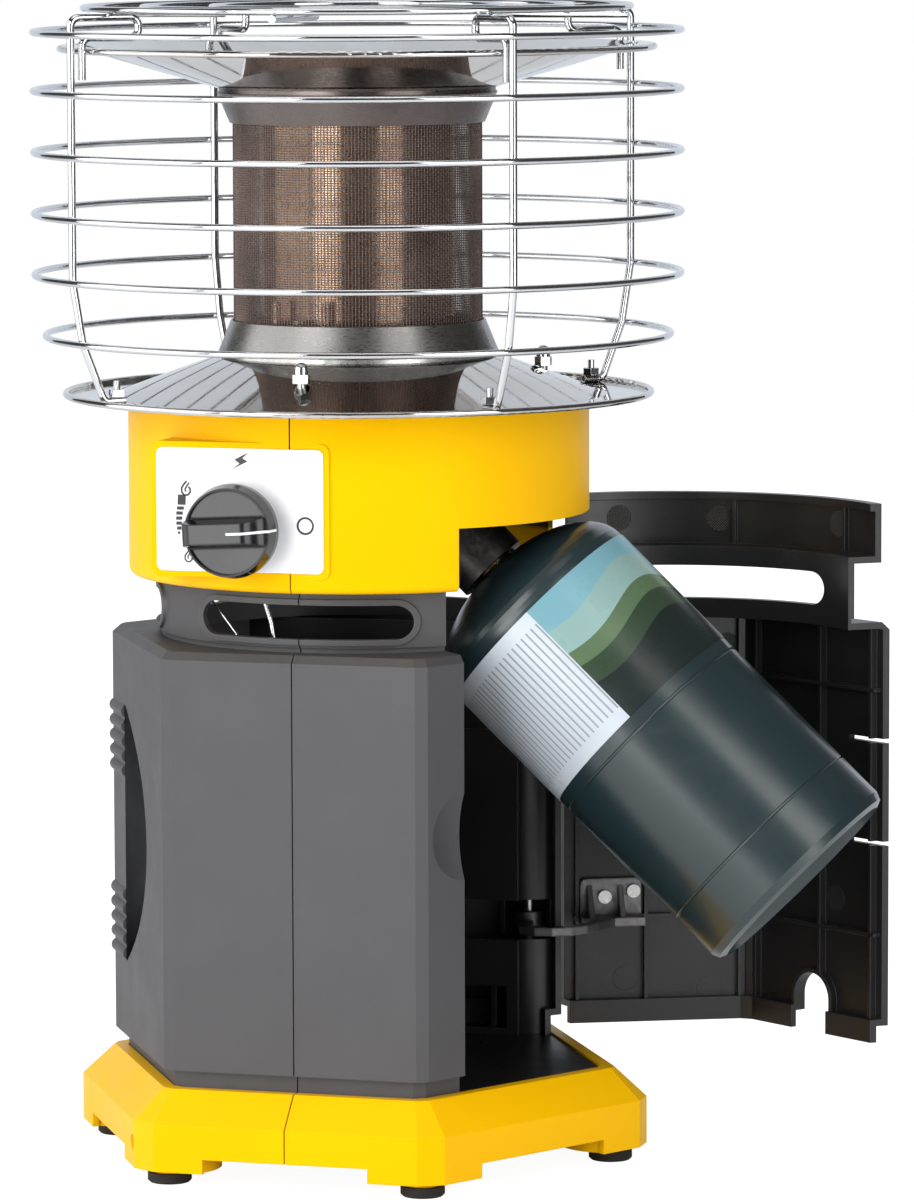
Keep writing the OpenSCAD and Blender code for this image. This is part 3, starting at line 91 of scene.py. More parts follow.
def floor_white():
    mat = bpy.data.materials.new("floor_white")
    mat.use_nodes = True
    nodes, links = mat.node_tree.nodes, mat.node_tree.links
    paper = nodes["Principled BSDF"]
    paper.inputs["Base Color"].default_value = (0.9, 0.9, 0.9, 1)
    paper.inputs["Roughness"].default_value = 0.9
    grain = nodes.new("ShaderNodeTexNoise")
    grain.inputs["Scale"].default_value = 300
    shade = nodes.new("ShaderNodeBump")
    shade.inputs["Strength"].default_value = 0.05
    links.new(grain.outputs["Fac"], shade.inputs["Height"])
    links.new(shade.outputs["Normal"], paper.inputs["Normal"])
    glow = nodes.new("ShaderNodeEmission")
    glow.inputs["Strength"].default_value = 1.22
    # Shadow near the heater, plain white further out
    coords = nodes.new("ShaderNodeTexCoord")
    reach = nodes.new("ShaderNodeVectorMath")
    reach.operation = "LENGTH"
    links.new(coords.outputs["Object"], reach.inputs[0])
    fade = nodes.new("ShaderNodeMapRange")
    fade.inputs["From Min"].default_value = 0.16
    fade.inputs["From Max"].default_value = 0.42
    fade.inputs["To Min"].default_value = 0.78
    links.new(reach.outputs["Value"], fade.inputs["Value"])
    both = nodes.new("ShaderNodeMixShader")
    links.new(fade.outputs["Result"], both.inputs["Fac"])
    links.new(paper.outputs["BSDF"], both.inputs[1])
    links.new(glow.outputs["Emission"], both.inputs[2])
    light_path(nodes, links, "Is Camera Ray", paper.outputs["BSDF"], both.outputs["Shader"],
               nodes["Material Output"].inputs["Surface"])
    return mat


def card(name, mat, matrix, wide, tall):
    bm = bmesh.new()
    bmesh.ops.create_grid(bm, x_segments=1, y_segments=1, size=1)
    bmesh.ops.scale(bm, verts=bm.verts, vec=(wide / 2, tall / 2, 1))
    bmesh.ops.transform(bm, verts=bm.verts, matrix=matrix)
    mesh = bpy.data.meshes.new(name)
    bm.to_mesh(mesh)
    bm.free()
    sheet = bpy.data.objects.new(name, mesh)
    mesh.materials.append(mat)
    scene.collection.objects.link(sheet)


card("floor", floor_white(), Matrix.Identity(4), 8, 8)

back_white = bpy.data.materials.new("back_white")
back_white.use_nodes = True
nodes, links = back_white.node_tree.nodes, back_white.node_tree.links
clear = nodes.new("ShaderNodeBsdfTransparent")
dim = nodes.new("ShaderNodeEmission")
dim.inputs["Color"].default_value = (0.86, 0.92, 1, 1)
dim.inputs["Strength"].default_value = 0.85
light_path(nodes, links, "Is Camera Ray", dim.outputs["Emission"], clear.outputs["BSDF"],
           nodes["Material Output"].inputs["Surface"])
back_distance = 1.6
back_height = 1.2
card("back_card", back_white,
     Matrix.Translation((-math.sin(view_turn) * back_distance, math.cos(view_turn) * back_distance,
                         back_height))
     @ Matrix.Rotation(view_turn, 4, "Z") @ Matrix.Rotation(math.pi / 2, 4, "X"), 2.3, 2.5)

world = bpy.data.worlds.new("studio")
scene.world = world
world.use_nodes = True
nodes, links = world.node_tree.nodes, world.node_tree.links
room = nodes["Background"]
room.inputs["Color"].default_value = (0.93, 0.95, 1, 1)
room.inputs["Strength"].default_value = 0.42
gloom = nodes.new("ShaderNodeBackground")
gloom.inputs["Color"].default_value = (1, 0.96, 0.94, 1)
gloom.inputs["Strength"].default_value = 0.07
backdrop = nodes.new("ShaderNodeBackground")
backdrop.inputs["Color"].default_value = (1, 1, 1, 1)
backdrop.inputs["Strength"].default_value = 1
inner = light_path(nodes, links, "Is Glossy Ray", room.outputs["Background"],
                   gloom.outputs["Background"], nodes["World Output"].inputs["Surface"])
light_path(nodes, links, "Is Camera Ray", inner.outputs["Shader"],
           backdrop.outputs["Background"], nodes["World Output"].inputs["Surface"])


def soft_box(name, turn, height, distance, width, tall, power, aim=0.3):
    light = bpy.data.lights.new(name, "AREA")
    light.shape = "RECTANGLE"
    light.size = width
    light.size_y = tall
    light.energy = power
    lamp = bpy.data.objects.new(name, light)
    place = Vector((math.sin(turn) * distance, -math.cos(turn) * distance, height))
    lamp.location = place
    lamp.rotation_euler = (Vector((0, 0, aim)) - place).to_track_quat("-Z", "Y").to_euler()
    scene.collection.objects.link(lamp)


soft_box("box_left", math.radians(-20), 0.75, 1.7, 1.0, 1.5, 21)
soft_box("box_right", math.radians(55), 0.75, 1.7, 0.95, 1.5, 15)
soft_box("wall_left", math.radians(-68), 0.7, 1.5, 1.6, 1.6, 14)
soft_box("box_over", math.radians(0), 2.1, 0.3, 1.4, 1.4, 9)


# ------------------------------------------------------------------ base
# Two injection-moulded halves in yellow ABS, screwed together from below.
# The surface has a fine satin texture and slightly paler rubbed edges.
def noise(nodes, links, coords, scale, detail=3, rough=0.5):
    tex = nodes.new("ShaderNodeTexNoise")
    tex.inputs["Scale"].default_value = scale
    tex.inputs["Detail"].default_value = detail
    tex.inputs["Roughness"].default_value = rough
    links.new(coords.outputs["Object"], tex.inputs["Vector"])
    return tex


def ramp(nodes, links, source, low, high, at_low=0.3, at_high=0.7):
    band = nodes.new("ShaderNodeValToRGB")
    band.color_ramp.elements[0].position = at_low
    band.color_ramp.elements[0].color = (*low, 1)
    band.color_ramp.elements[1].position = at_high
    band.color_ramp.elements[1].color = (*high, 1)
    links.new(source, band.inputs["Fac"])
    return band


def moulded(name, colour, worn, rough, grain, relief, edge=0.0006, shine=(1, 1, 1)):
    """Textured moulded plastic with soft edges that rub paler."""
    mat = bpy.data.materials.new(name)
    mat.use_nodes = True
    nodes, links = mat.node_tree.nodes, mat.node_tree.links
    skin = nodes["Principled BSDF"]
    coords = nodes.new("ShaderNodeTexCoord")
    patch = noise(nodes, links, coords, 14, 4)
    tint = ramp(nodes, links, patch.outputs["Fac"], [c * 0.94 for c in colour], colour)
    rounded = nodes.new("ShaderNodeBevel")
    rounded.samples = 4
    rounded.inputs["Radius"].default_value = edge
    flat = nodes.new("ShaderNodeNewGeometry")
    meet = nodes.new("ShaderNodeVectorMath")
    meet.operation = "DOT_PRODUCT"
    links.new(rounded.outputs["Normal"], meet.inputs[0])
    links.new(flat.outputs["Normal"], meet.inputs[1])
    rub = ramp(nodes, links, meet.outputs["Value"], worn, (0, 0, 0), 0.86, 0.98)
    rub.color_ramp.elements[0].color = (1, 1, 1, 1)
    blend = nodes.new("ShaderNodeMix")
    blend.data_type = "RGBA"
    blend.inputs["B"].default_value = (*worn, 1)
    links.new(rub.outputs["Color"], blend.inputs["Factor"])
    links.new(tint.outputs["Color"], blend.inputs["A"])
    links.new(blend.outputs["Result"], skin.inputs["Base Color"])
    smear = noise(nodes, links, coords, 35, 5, 0.6)
    gloss = ramp(nodes, links, smear.outputs["Fac"], [rough - 0.05] * 3, [rough + 0.07] * 3)
    links.new(gloss.outputs["Color"], skin.inputs["Roughness"])
    fine = noise(nodes, links, coords, grain, 2)
    bump = nodes.new("ShaderNodeBump")
    bump.inputs["Strength"].default_value = relief
    bump.inputs["Distance"].default_value = 0.0002
    links.new(fine.outputs["Fac"], bump.inputs["Height"])
    links.new(rounded.outputs["Normal"], bump.inputs["Normal"])
    links.new(bump.outputs["Normal"], skin.inputs["Normal"])
    skin.inputs["Specular Tint"].default_value = (*shine, 1)
    return mat


def dress(material, *names):
    for name in names:
        node[name].data.materials.clear()
        node[name].data.materials.append(material)


yellow_look = ((0.92, 0.49, 0.001), (0.94, 0.54, 0.006), 0.42, 2600, 0.25)
yellow_shine = (1, 0.72, 0.02)
yellow = moulded("yellow_plastic", *yellow_look, shine=yellow_shine)
dress(yellow, "base_left", "base_right")

# ------------------------------------------------------------------ feet
# Six moulded rubber pads held by screws: matt, with edges rubbed grey.
rubber = moulded("black_rubber", (0.012, 0.012, 0.012), (0.05, 0.05, 0.05), 0.75, 1500, 0.5)
dress(rubber, "rubber_feet")


# ------------------------------------------------------------------ screws, pins and plates
# Zinc-plated steel hardware: screws, pins, plates, studs and rods, the valve's
# stem and the mixer tube.
def metal(name, colour, rough, spread=0.08, stretch=(1, 1, 1), grain=900, relief=0.1, stain=None,
          edge=0.0004):
    """Bare metal with fine grain, uneven polish and an optional heat stain."""
    mat = bpy.data.materials.new(name)
    mat.use_nodes = True
    nodes, links = mat.node_tree.nodes, mat.node_tree.links
    skin = nodes["Principled BSDF"]
    skin.inputs["Metallic"].default_value = 1
    coords = nodes.new("ShaderNodeTexCoord")
    lay = nodes.new("ShaderNodeMapping")
    lay.inputs["Scale"].default_value = stretch
    links.new(coords.outputs["Object"], lay.inputs["Vector"])
    brush = nodes.new("ShaderNodeTexNoise")
    brush.inputs["Scale"].default_value = grain
    brush.inputs["Detail"].default_value = 3
    links.new(lay.outputs["Vector"], brush.inputs["Vector"])
    patch = noise(nodes, links, coords, 22, 4)
    tint = ramp(nodes, links, patch.outputs["Fac"], stain or [c * 0.88 for c in colour], colour)
    links.new(tint.outputs["Color"], skin.inputs["Base Color"])
    gloss = ramp(nodes, links, brush.outputs["Fac"],
                 [max(rough - spread, 0.03)] * 3, [rough + spread] * 3)
    links.new(gloss.outputs["Color"], skin.inputs["Roughness"])
    bump = nodes.new("ShaderNodeBump")
    bump.inputs["Strength"].default_value = relief
    bump.inputs["Distance"].default_value = 0.0001
    links.new(brush.outputs["Fac"], bump.inputs["Height"])
    rounded = nodes.new("ShaderNodeBevel")
    rounded.samples = 4
    rounded.inputs["Radius"].default_value = edge
    links.new(rounded.outputs["Normal"], bump.inputs["Normal"])
    links.new(bump.outputs["Normal"], skin.inputs["Normal"])
    return mat


plated = metal("plated_steel", (0.6, 0.6, 0.58), 0.3)
dress(plated, "foot_screws", "hinge_screws", "hinge_pin", "drum_top_plate", "valve_stem",
      "mixer_tube", "swing_pin", "burner_base_plate", "burner_tie_rods",
      "reflector_studs")

# ------------------------------------------------------------------ body
# Three moulded shells in charcoal ABS with a fine spark-eroded texture; the
# left one carries the ribbed grip bar.
charcoal = moulded("charcoal_plastic", (0.061, 0.059, 0.062), (0.11, 0.108, 0.112), 0.5, 2200, 0.45)
dress(charcoal, "body_left_shell", "body_front_right_shell", "body_rear_right_shell")

# ------------------------------------------------------------------ bottle bay
# Black polypropylene: the floor plate, the liner behind the bottle and the
# door, all smoother and shinier than the outer shells.
black = moulded("black_plastic", (0.014, 0.0135, 0.0145), (0.04, 0.04, 0.042), 0.32, 1500, 0.3)
dress(black, "floor_plate", "bottle_bay_liner", "door", "piezo_igniter", "tip_over_switch")

# ------------------------------------------------------------------ hinge arms and regulator
# Pressure-cast zinc, faintly pitted: polished by use on the hinge arms, dull
# and dark on the regulator and its pressed steel bracket.
zinc = metal("cast_zinc", (0.24, 0.235, 0.24), 0.5, 0.1, grain=500, relief=0.4, edge=0.0012)
dress(zinc, "hinge_arm_lower", "hinge_arm_upper")
dull_zinc = metal("dark_cast", (0.17, 0.165, 0.16), 0.42, 0.1, grain=500, relief=0.4)
dress(dull_zinc, "regulator", "regulator_cap", "swing_bracket")

# ------------------------------------------------------------------ drum
# Two moulded halves in the base's yellow, clamped under the reflector; the inside has
# painted shade: its surfaces that face inwards are coloured dark brown.
drum_yellow = moulded("drum_yellow", *yellow_look, shine=yellow_shine)
nodes, links = drum_yellow.node_tree.nodes, drum_yellow.node_tree.links
skin = nodes["Principled BSDF"]
unshaded_colour = skin.inputs["Base Color"].links[0].from_socket
coords = nodes.new("ShaderNodeTexCoord")
level = nodes.new("ShaderNodeMapping")
level.inputs["Scale"].default_value = (1, 1, 0)
links.new(coords.outputs["Object"], level.inputs["Vector"])
outward = nodes.new("ShaderNodeVectorMath")
outward.operation = "NORMALIZE"
links.new(level.outputs["Vector"], outward.inputs[0])
flat = nodes.new("ShaderNodeNewGeometry")
facing = nodes.new("ShaderNodeVectorMath")
facing.operation = "DOT_PRODUCT"
links.new(outward.outputs["Vector"], facing.inputs[0])
links.new(flat.outputs["Normal"], facing.inputs[1])
drum_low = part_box("drum_left")[0]
# The painted shade leaves out the boss outside the round wall and the lowest part of the lip
boss_fade = 0.2 * MM
lip_unshaded = 12 * MM
lip_shaded = 14 * MM
radius = nodes.new("ShaderNodeVectorMath")
radius.operation = "LENGTH"
links.new(level.outputs["Vector"], radius.inputs[0])
part = nodes.new("ShaderNodeSeparateXYZ")
links.new(coords.outputs["Object"], part.inputs["Vector"])
outer = None
for socket, low, high in ((facing.outputs["Value"], 0.2, 0.4),
                          (radius.outputs["Value"], -drum_low.x, -drum_low.x + boss_fade),
                          (part.outputs["Z"], drum_low.z + lip_shaded, drum_low.z + lip_unshaded)):
    span = nodes.new("ShaderNodeMapRange")
    span.inputs["From Min"].default_value = low
    span.inputs["From Max"].default_value = high
    links.new(socket, span.inputs["Value"])
    if outer is None:
        outer = span.outputs["Result"]
        continue
    either = nodes.new("ShaderNodeMath")
    either.operation = "MAXIMUM"
    links.new(outer, either.inputs[0])
    links.new(span.outputs["Result"], either.inputs[1])
    outer = either.outputs["Value"]
# Painted shade: the inward-facing drum wall is coloured near-black brown
painted_shade_mix = nodes.new("ShaderNodeMix")
painted_shade_mix.data_type = "RGBA"
painted_shade_mix.inputs["A"].default_value = (0.05, 0.03, 0.004, 1)
links.new(outer, painted_shade_mix.inputs["Factor"])
links.new(unshaded_colour, painted_shade_mix.inputs["B"])
links.new(painted_shade_mix.outputs["Result"], skin.inputs["Base Color"])
dress(drum_yellow, "drum_left", "drum_right")

# ------------------------------------------------------------------ control plate
# A white printed plate on the drum's flat boss, with the dial marks printed
# in dark grey: a spark, a large and a small flame, a bar scale and a ring.
white = moulded("white_plate", (0.86, 0.86, 0.87), (0.9, 0.9, 0.9), 0.3, 900, 0.05, 0.0003)
dress(white, "control_plate")


def finish_piece(name, bm, material, body, smooth=True):
    """Turns a bmesh into a piece that rides on a body."""
    bmesh.ops.recalc_face_normals(bm, faces=bm.faces)
    for face in bm.faces:
        face.smooth = smooth
    mesh = bpy.data.meshes.new(name)
    bm.to_mesh(mesh)
    bm.free()
    piece = bpy.data.objects.new(name, mesh)
    mesh.materials.append(material)
    scene.collection.objects.link(piece)
    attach(piece, body)
    return piece


plate_low, plate_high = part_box("control_plate")
plate_x = (plate_low.x + plate_high.x) / 2
plate_z = (plate_low.z + plate_high.z) / 2
plate_y = plate_low.y
axis_drop = 8 * MM
axis_z = plate_z - axis_drop
ink_t = 0.06 * MM
ink = moulded("dial_ink", (0.02, 0.016, 0.016), (0.03, 0.03, 0.03), 0.4, 900, 0.05, 0.0001)


def on_plate(bm, points):
    """Corners on the plate from mm measured from the knob's axis."""
    return [bm.verts.new((plate_x + x * MM, plate_y - ink_t, axis_z + z * MM)) for x, z in points]


def print_line(bm, points, half, closed=True):
    """Prints a line of an even width along the points."""
    sides = ([], [])
    count = len(points)
    for i, (x, z) in enumerate(points):
        a = points[i - 1] if closed or i else points[i]
        b = points[(i + 1) % count] if closed or i < count - 1 else points[i]
        length = math.hypot(b[0] - a[0], b[1] - a[1])
        across_x = -(b[1] - a[1]) / length * half
        across_z = (b[0] - a[0]) / length * half
        sides[0].append((x + across_x, z + across_z))
        sides[1].append((x - across_x, z - across_z))
    one = on_plate(bm, sides[0])
    two = on_plate(bm, sides[1])
    for i in range(count if closed else count - 1):
        j = (i + 1) % count
        bm.faces.new((one[i], one[j], two[j], two[i]))


bm = bmesh.new()
# Spark
bm.faces.new(on_plate(bm, [(4.3, 33.6), (1.5, 30.9), (3.9, 29.6), (-3.6, 25.9), (0.1, 28.6),
                           (-2.2, 30.3)]))


def flame(bm, x, z, size):
    """An open drop with a small curl inside."""
    drop = [(0.1, 1), (-0.3, 0.5), (-0.62, 0), (-0.6, -0.55), (-0.25, -0.95), (0.25, -0.95),
            (0.6, -0.6), (0.62, -0.1), (0.35, 0.2)]
    curl = [(0.5, 0.75), (0.12, 0.3), (-0.12, -0.15), (-0.02, -0.5)]
    print_line(bm, [(x + size * u, z + size * v) for u, v in drop], size * 0.14, closed=False)
    print_line(bm, [(x + size * u, z + size * v) for u, v in curl], size * 0.12, closed=False)


flame(bm, -24.6, 17.3, 3.2)
flame(bm, -23.6, -12.6, 2.6)
# Bar scale beside the knob: left edge, width and height of each bar
top = 14.4
bar_gap = 0.73
bar_lean = 0.15
for left, wide, tall in ((-28.5, 3.7, 4.5), (-28.9, 3.2, 1.45), (-29.2, 3, 1.5), (-29.3, 2.85, 1.5),
                         (-29.2, 2.55, 1.45), (-28.9, 2, 1.45), (-28.5, 1.05, 1.15)):
    bm.faces.new(on_plate(bm, [(left, top - tall), (left + wide, top - tall),
                               (left + wide + bar_lean, top), (left + bar_lean, top)]))
    top -= tall + bar_gap
# Off mark: a plain ring
steps = 40
ring_x = 30.1
ring_z = 1.9
ring_r = 3.5
ring_half = 0.48
print_line(bm, [(ring_x + ring_r * math.cos(2 * math.pi * i / steps),
                 ring_z + ring_r * math.sin(2 * math.pi * i / steps)) for i in range(steps)],
           ring_half)
thick = bmesh.ops.extrude_face_region(bm, geom=list(bm.faces))
moved = [v for v in thick["geom"] if isinstance(v, bmesh.types.BMVert)]
bmesh.ops.translate(bm, verts=moved, vec=(0, ink_t, 0))
finish_piece("dial_marks", bm, ink, "heater", smooth=False)

# ------------------------------------------------------------------ knob
# Gloss black moulded knob with two sunk half-moons beside its finger bar and
# a pale pointer line that runs over the bar and down to the rim.
knob_black = (0.008, 0.008, 0.009)
gloss_black = moulded("black_gloss", knob_black, knob_black, 0.12, 1200, 0.03, 0.0012)
dress(gloss_black, "knob")

knob_low, knob_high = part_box("knob")
knob_x = (knob_low.x + knob_high.x) / 2
knob_mid_z = (knob_low.z + knob_high.z) / 2
pointer_white = moulded("pointer_white", (0.85, 0.88, 0.9), (0.9, 0.9, 0.9), 0.3, 900, 0.02, 0.0001)
bm = bmesh.new()
# Sizes in mm: heights from the knob's back, distances from its axis
bar_top = 17.5
disc_t = 10
bar_flat_x = 8.4
front_r = 19.15
rim_r = 20.75
rim_end_h = 3.5
edge_step = 0.25
line_start = 2.2
line_half = 0.55
line_t = 0.35
lift = 0.05
slope_steps = 14
path = [(line_start, bar_top + lift), (bar_flat_x, bar_top + lift)]
for i in range(1, slope_steps + 1):
    t = i / slope_steps
    path.append((bar_flat_x + (front_r - bar_flat_x) * t,
                 disc_t + lift + (bar_top - disc_t) * (1 + math.cos(math.pi * t)) / 2))
path += [(front_r + edge_step, disc_t + lift), (rim_r + lift, rim_end_h)]
slant = math.radians(3)
rows = []
for x, h in path:
    row = []
    for y in (-line_half, line_half):
        for down in (0, line_t):
            aside = x * math.cos(slant) - y * math.sin(slant)
            above = x * math.sin(slant) + y * math.cos(slant)
            row.append(bm.verts.new((knob_x + aside * MM, knob_high.y - (h - down) * MM,
                                     knob_mid_z + above * MM)))
    rows.append((row[0], row[1], row[3], row[2]))
for one, two in zip(rows, rows[1:]):
    for i in range(4):
        bm.faces.new((one[i], one[(i + 1) % 4], two[(i + 1) % 4], two[i]))
bm.faces.new(rows[0])
bm.faces.new(rows[-1])
finish_piece("knob_pointer", bm, pointer_white, "knob", smooth=False)

# ------------------------------------------------------------------ door pads
# Round marks on the inside of the door where pins pushed it out of its mould:
# cross-hatched pads on the band and upper panel, plain discs on the lower one.
pad_r = 6 * MM
pad_t = 0.5
pad_bevel = 0.1 * MM
# The wave texture at scale 1 repeats every 0.314 of a metre
wave_unit = 0.314


def hatched(name, pitch):
    """Black plastic with two crossed sets of fine grooves; the raised crossings are coloured paler as
    painted sheen.
    """
    mat = bpy.data.materials.new(name)
    mat.use_nodes = True
    nodes, links = mat.node_tree.nodes, mat.node_tree.links
    skin = nodes["Principled BSDF"]
    coords = nodes.new("ShaderNodeTexCoord")
    lay = nodes.new("ShaderNodeMapping")
    lay.inputs["Rotation"].default_value = (0, math.radians(45), 0)
    links.new(coords.outputs["Object"], lay.inputs["Vector"])
    grooves = []
    for way in ("X", "Z"):
        wave = nodes.new("ShaderNodeTexWave")
        wave.bands_direction = way
        wave.inputs["Scale"].default_value = wave_unit / pitch
        links.new(lay.outputs["Vector"], wave.inputs["Vector"])
        grooves.append(wave)
    both = nodes.new("ShaderNodeMath")
    both.operation = "MULTIPLY"
    links.new(grooves[0].outputs["Fac"], both.inputs[0])
    links.new(grooves[1].outputs["Fac"], both.inputs[1])
    # Painted sheen: the grooves are real relief, and their raised crossings are coloured pale grey
    tint = ramp(nodes, links, both.outputs["Value"], (0.014, 0.014, 0.014), (0.11, 0.11, 0.112),
                0.2, 0.8)
    links.new(tint.outputs["Color"], skin.inputs["Base Color"])
    smear = noise(nodes, links, coords, 35, 4)
    gloss = ramp(nodes, links, smear.outputs["Fac"], [0.3] * 3, [0.45] * 3)
    links.new(gloss.outputs["Color"], skin.inputs["Roughness"])
    bump = nodes.new("ShaderNodeBump")
    bump.inputs["Distance"].default_value = 0.0003
    links.new(both.outputs["Value"], bump.inputs["Height"])
    links.new(bump.outputs["Normal"], skin.inputs["Normal"])
    return mat


def pads(name, places, material):
    """Discs set on the door's inside: (x, y, z) in mm, bearing and height."""
    bm = bmesh.new()
    for x, y, z, bearing, proud in places:
        turn = Matrix.Rotation(math.radians(bearing), 4, "Z") @ Matrix.Rotation(math.pi / 2, 4, "Y")
        bmesh.ops.create_cone(bm, cap_ends=True, cap_tris=False, segments=48, radius1=pad_r,
                              radius2=pad_r - pad_bevel, depth=pad_t * MM,
                              matrix=Matrix.Translation((x * MM, y * MM, z * MM)) @ turn
                              @ Matrix.Translation((0, 0, (proud - pad_t / 2) * MM)))
    finish_piece(name, bm, material, "door", smooth=False)


pads("door_hatched_pads", [(90.96, 115.68, 278.56, -62.1, 0.3), (135.83, 127.49, 278.52, -88.5, 0.3),
                           (196.98, 108.78, 279.02, -124.5, 0.3), (137.54, 136.59, 218.15, -65, 0.1)],
     hatched("hatched_plastic", 0.9 * MM))
pads("door_plain_pads", [(93.69, 116.15, 62.17, -65, 0.1), (129.99, 133.07, 56.26, -65, 0.1),
                         (196.34, 108.15, 105.54, -125, 0.1)],
     moulded("pad_plastic", (0.022, 0.0215, 0.0225), (0.04, 0.04, 0.042), 0.4, 1500, 0.2))

# ------------------------------------------------------------------ gas valve and tubes
# Turned brass valves and injector, with drawn aluminium tubes between them;
# the two thin leads have the tubes' pale metal.
brass = metal("turned_brass", (0.7, 0.52, 0.24), 0.28)
dress(brass, "gas_valve", "injector", "bottle_valve")
drawn = metal("drawn_tube", (0.75, 0.75, 0.76), 0.2)
dress(drawn, "valve_inlet_tube", "valve_outlet_tube", "switch_lead", "sensor_lead")


# ------------------------------------------------------------------ gas bottle
# A drawn steel bottle in dark green enamel, glossy, with faint handling marks
# and two rolled grooves.
def enamel(name, colour, mark):
    mat = bpy.data.materials.new(name)
    mat.use_nodes = True
    nodes, links = mat.node_tree.nodes, mat.node_tree.links
    skin = nodes["Principled BSDF"]
    coords = nodes.new("ShaderNodeTexCoord")
    cloud = noise(nodes, links, coords, 9, 4)
    tint = ramp(nodes, links, cloud.outputs["Fac"], [c * 0.8 for c in colour], colour)
    links.new(tint.outputs["Color"], skin.inputs["Base Color"])
    scuff = noise(nodes, links, coords, 60, 6, 0.7)
    gloss = ramp(nodes, links, scuff.outputs["Fac"], [0.3] * 3, [mark] * 3, 0.45, 0.8)
    links.new(gloss.outputs["Color"], skin.inputs["Roughness"])
    peel = noise(nodes, links, coords, 380, 2)
    bump = nodes.new("ShaderNodeBump")
    bump.inputs["Strength"].default_value = 0.08
    bump.inputs["Distance"].default_value = 0.0003
    links.new(peel.outputs["Fac"], bump.inputs["Height"])
    links.new(bump.outputs["Normal"], skin.inputs["Normal"])
    skin.inputs["Coat Weight"].default_value = 0.6
    skin.inputs["Coat Roughness"].default_value = 0.22
    return mat


green_enamel = enamel("green_enamel", (0.014, 0.03, 0.035), 0.46)
dress(green_enamel, "gas_bottle")


# ------------------------------------------------------------------ bottle label
# A glossy printed film round the bottle: a pale panel with plain thin rules on
# one side, wave bands from pale blue to dark green on the other.
tilt = math.radians(46.3)
pivot = Vector((12.9 * MM, 0, 313.8 * MM))
# In mm: from the pivot to the bottle's foot, and the label's edges above the foot
swing_len = 266
label_foot = 101.5
label_head = 166.5
wave_count = 4.3
wave_rise = 0.05
rule_pitch = 0.03
rule_wide = 0.008
panel_edge = math.radians(-78)


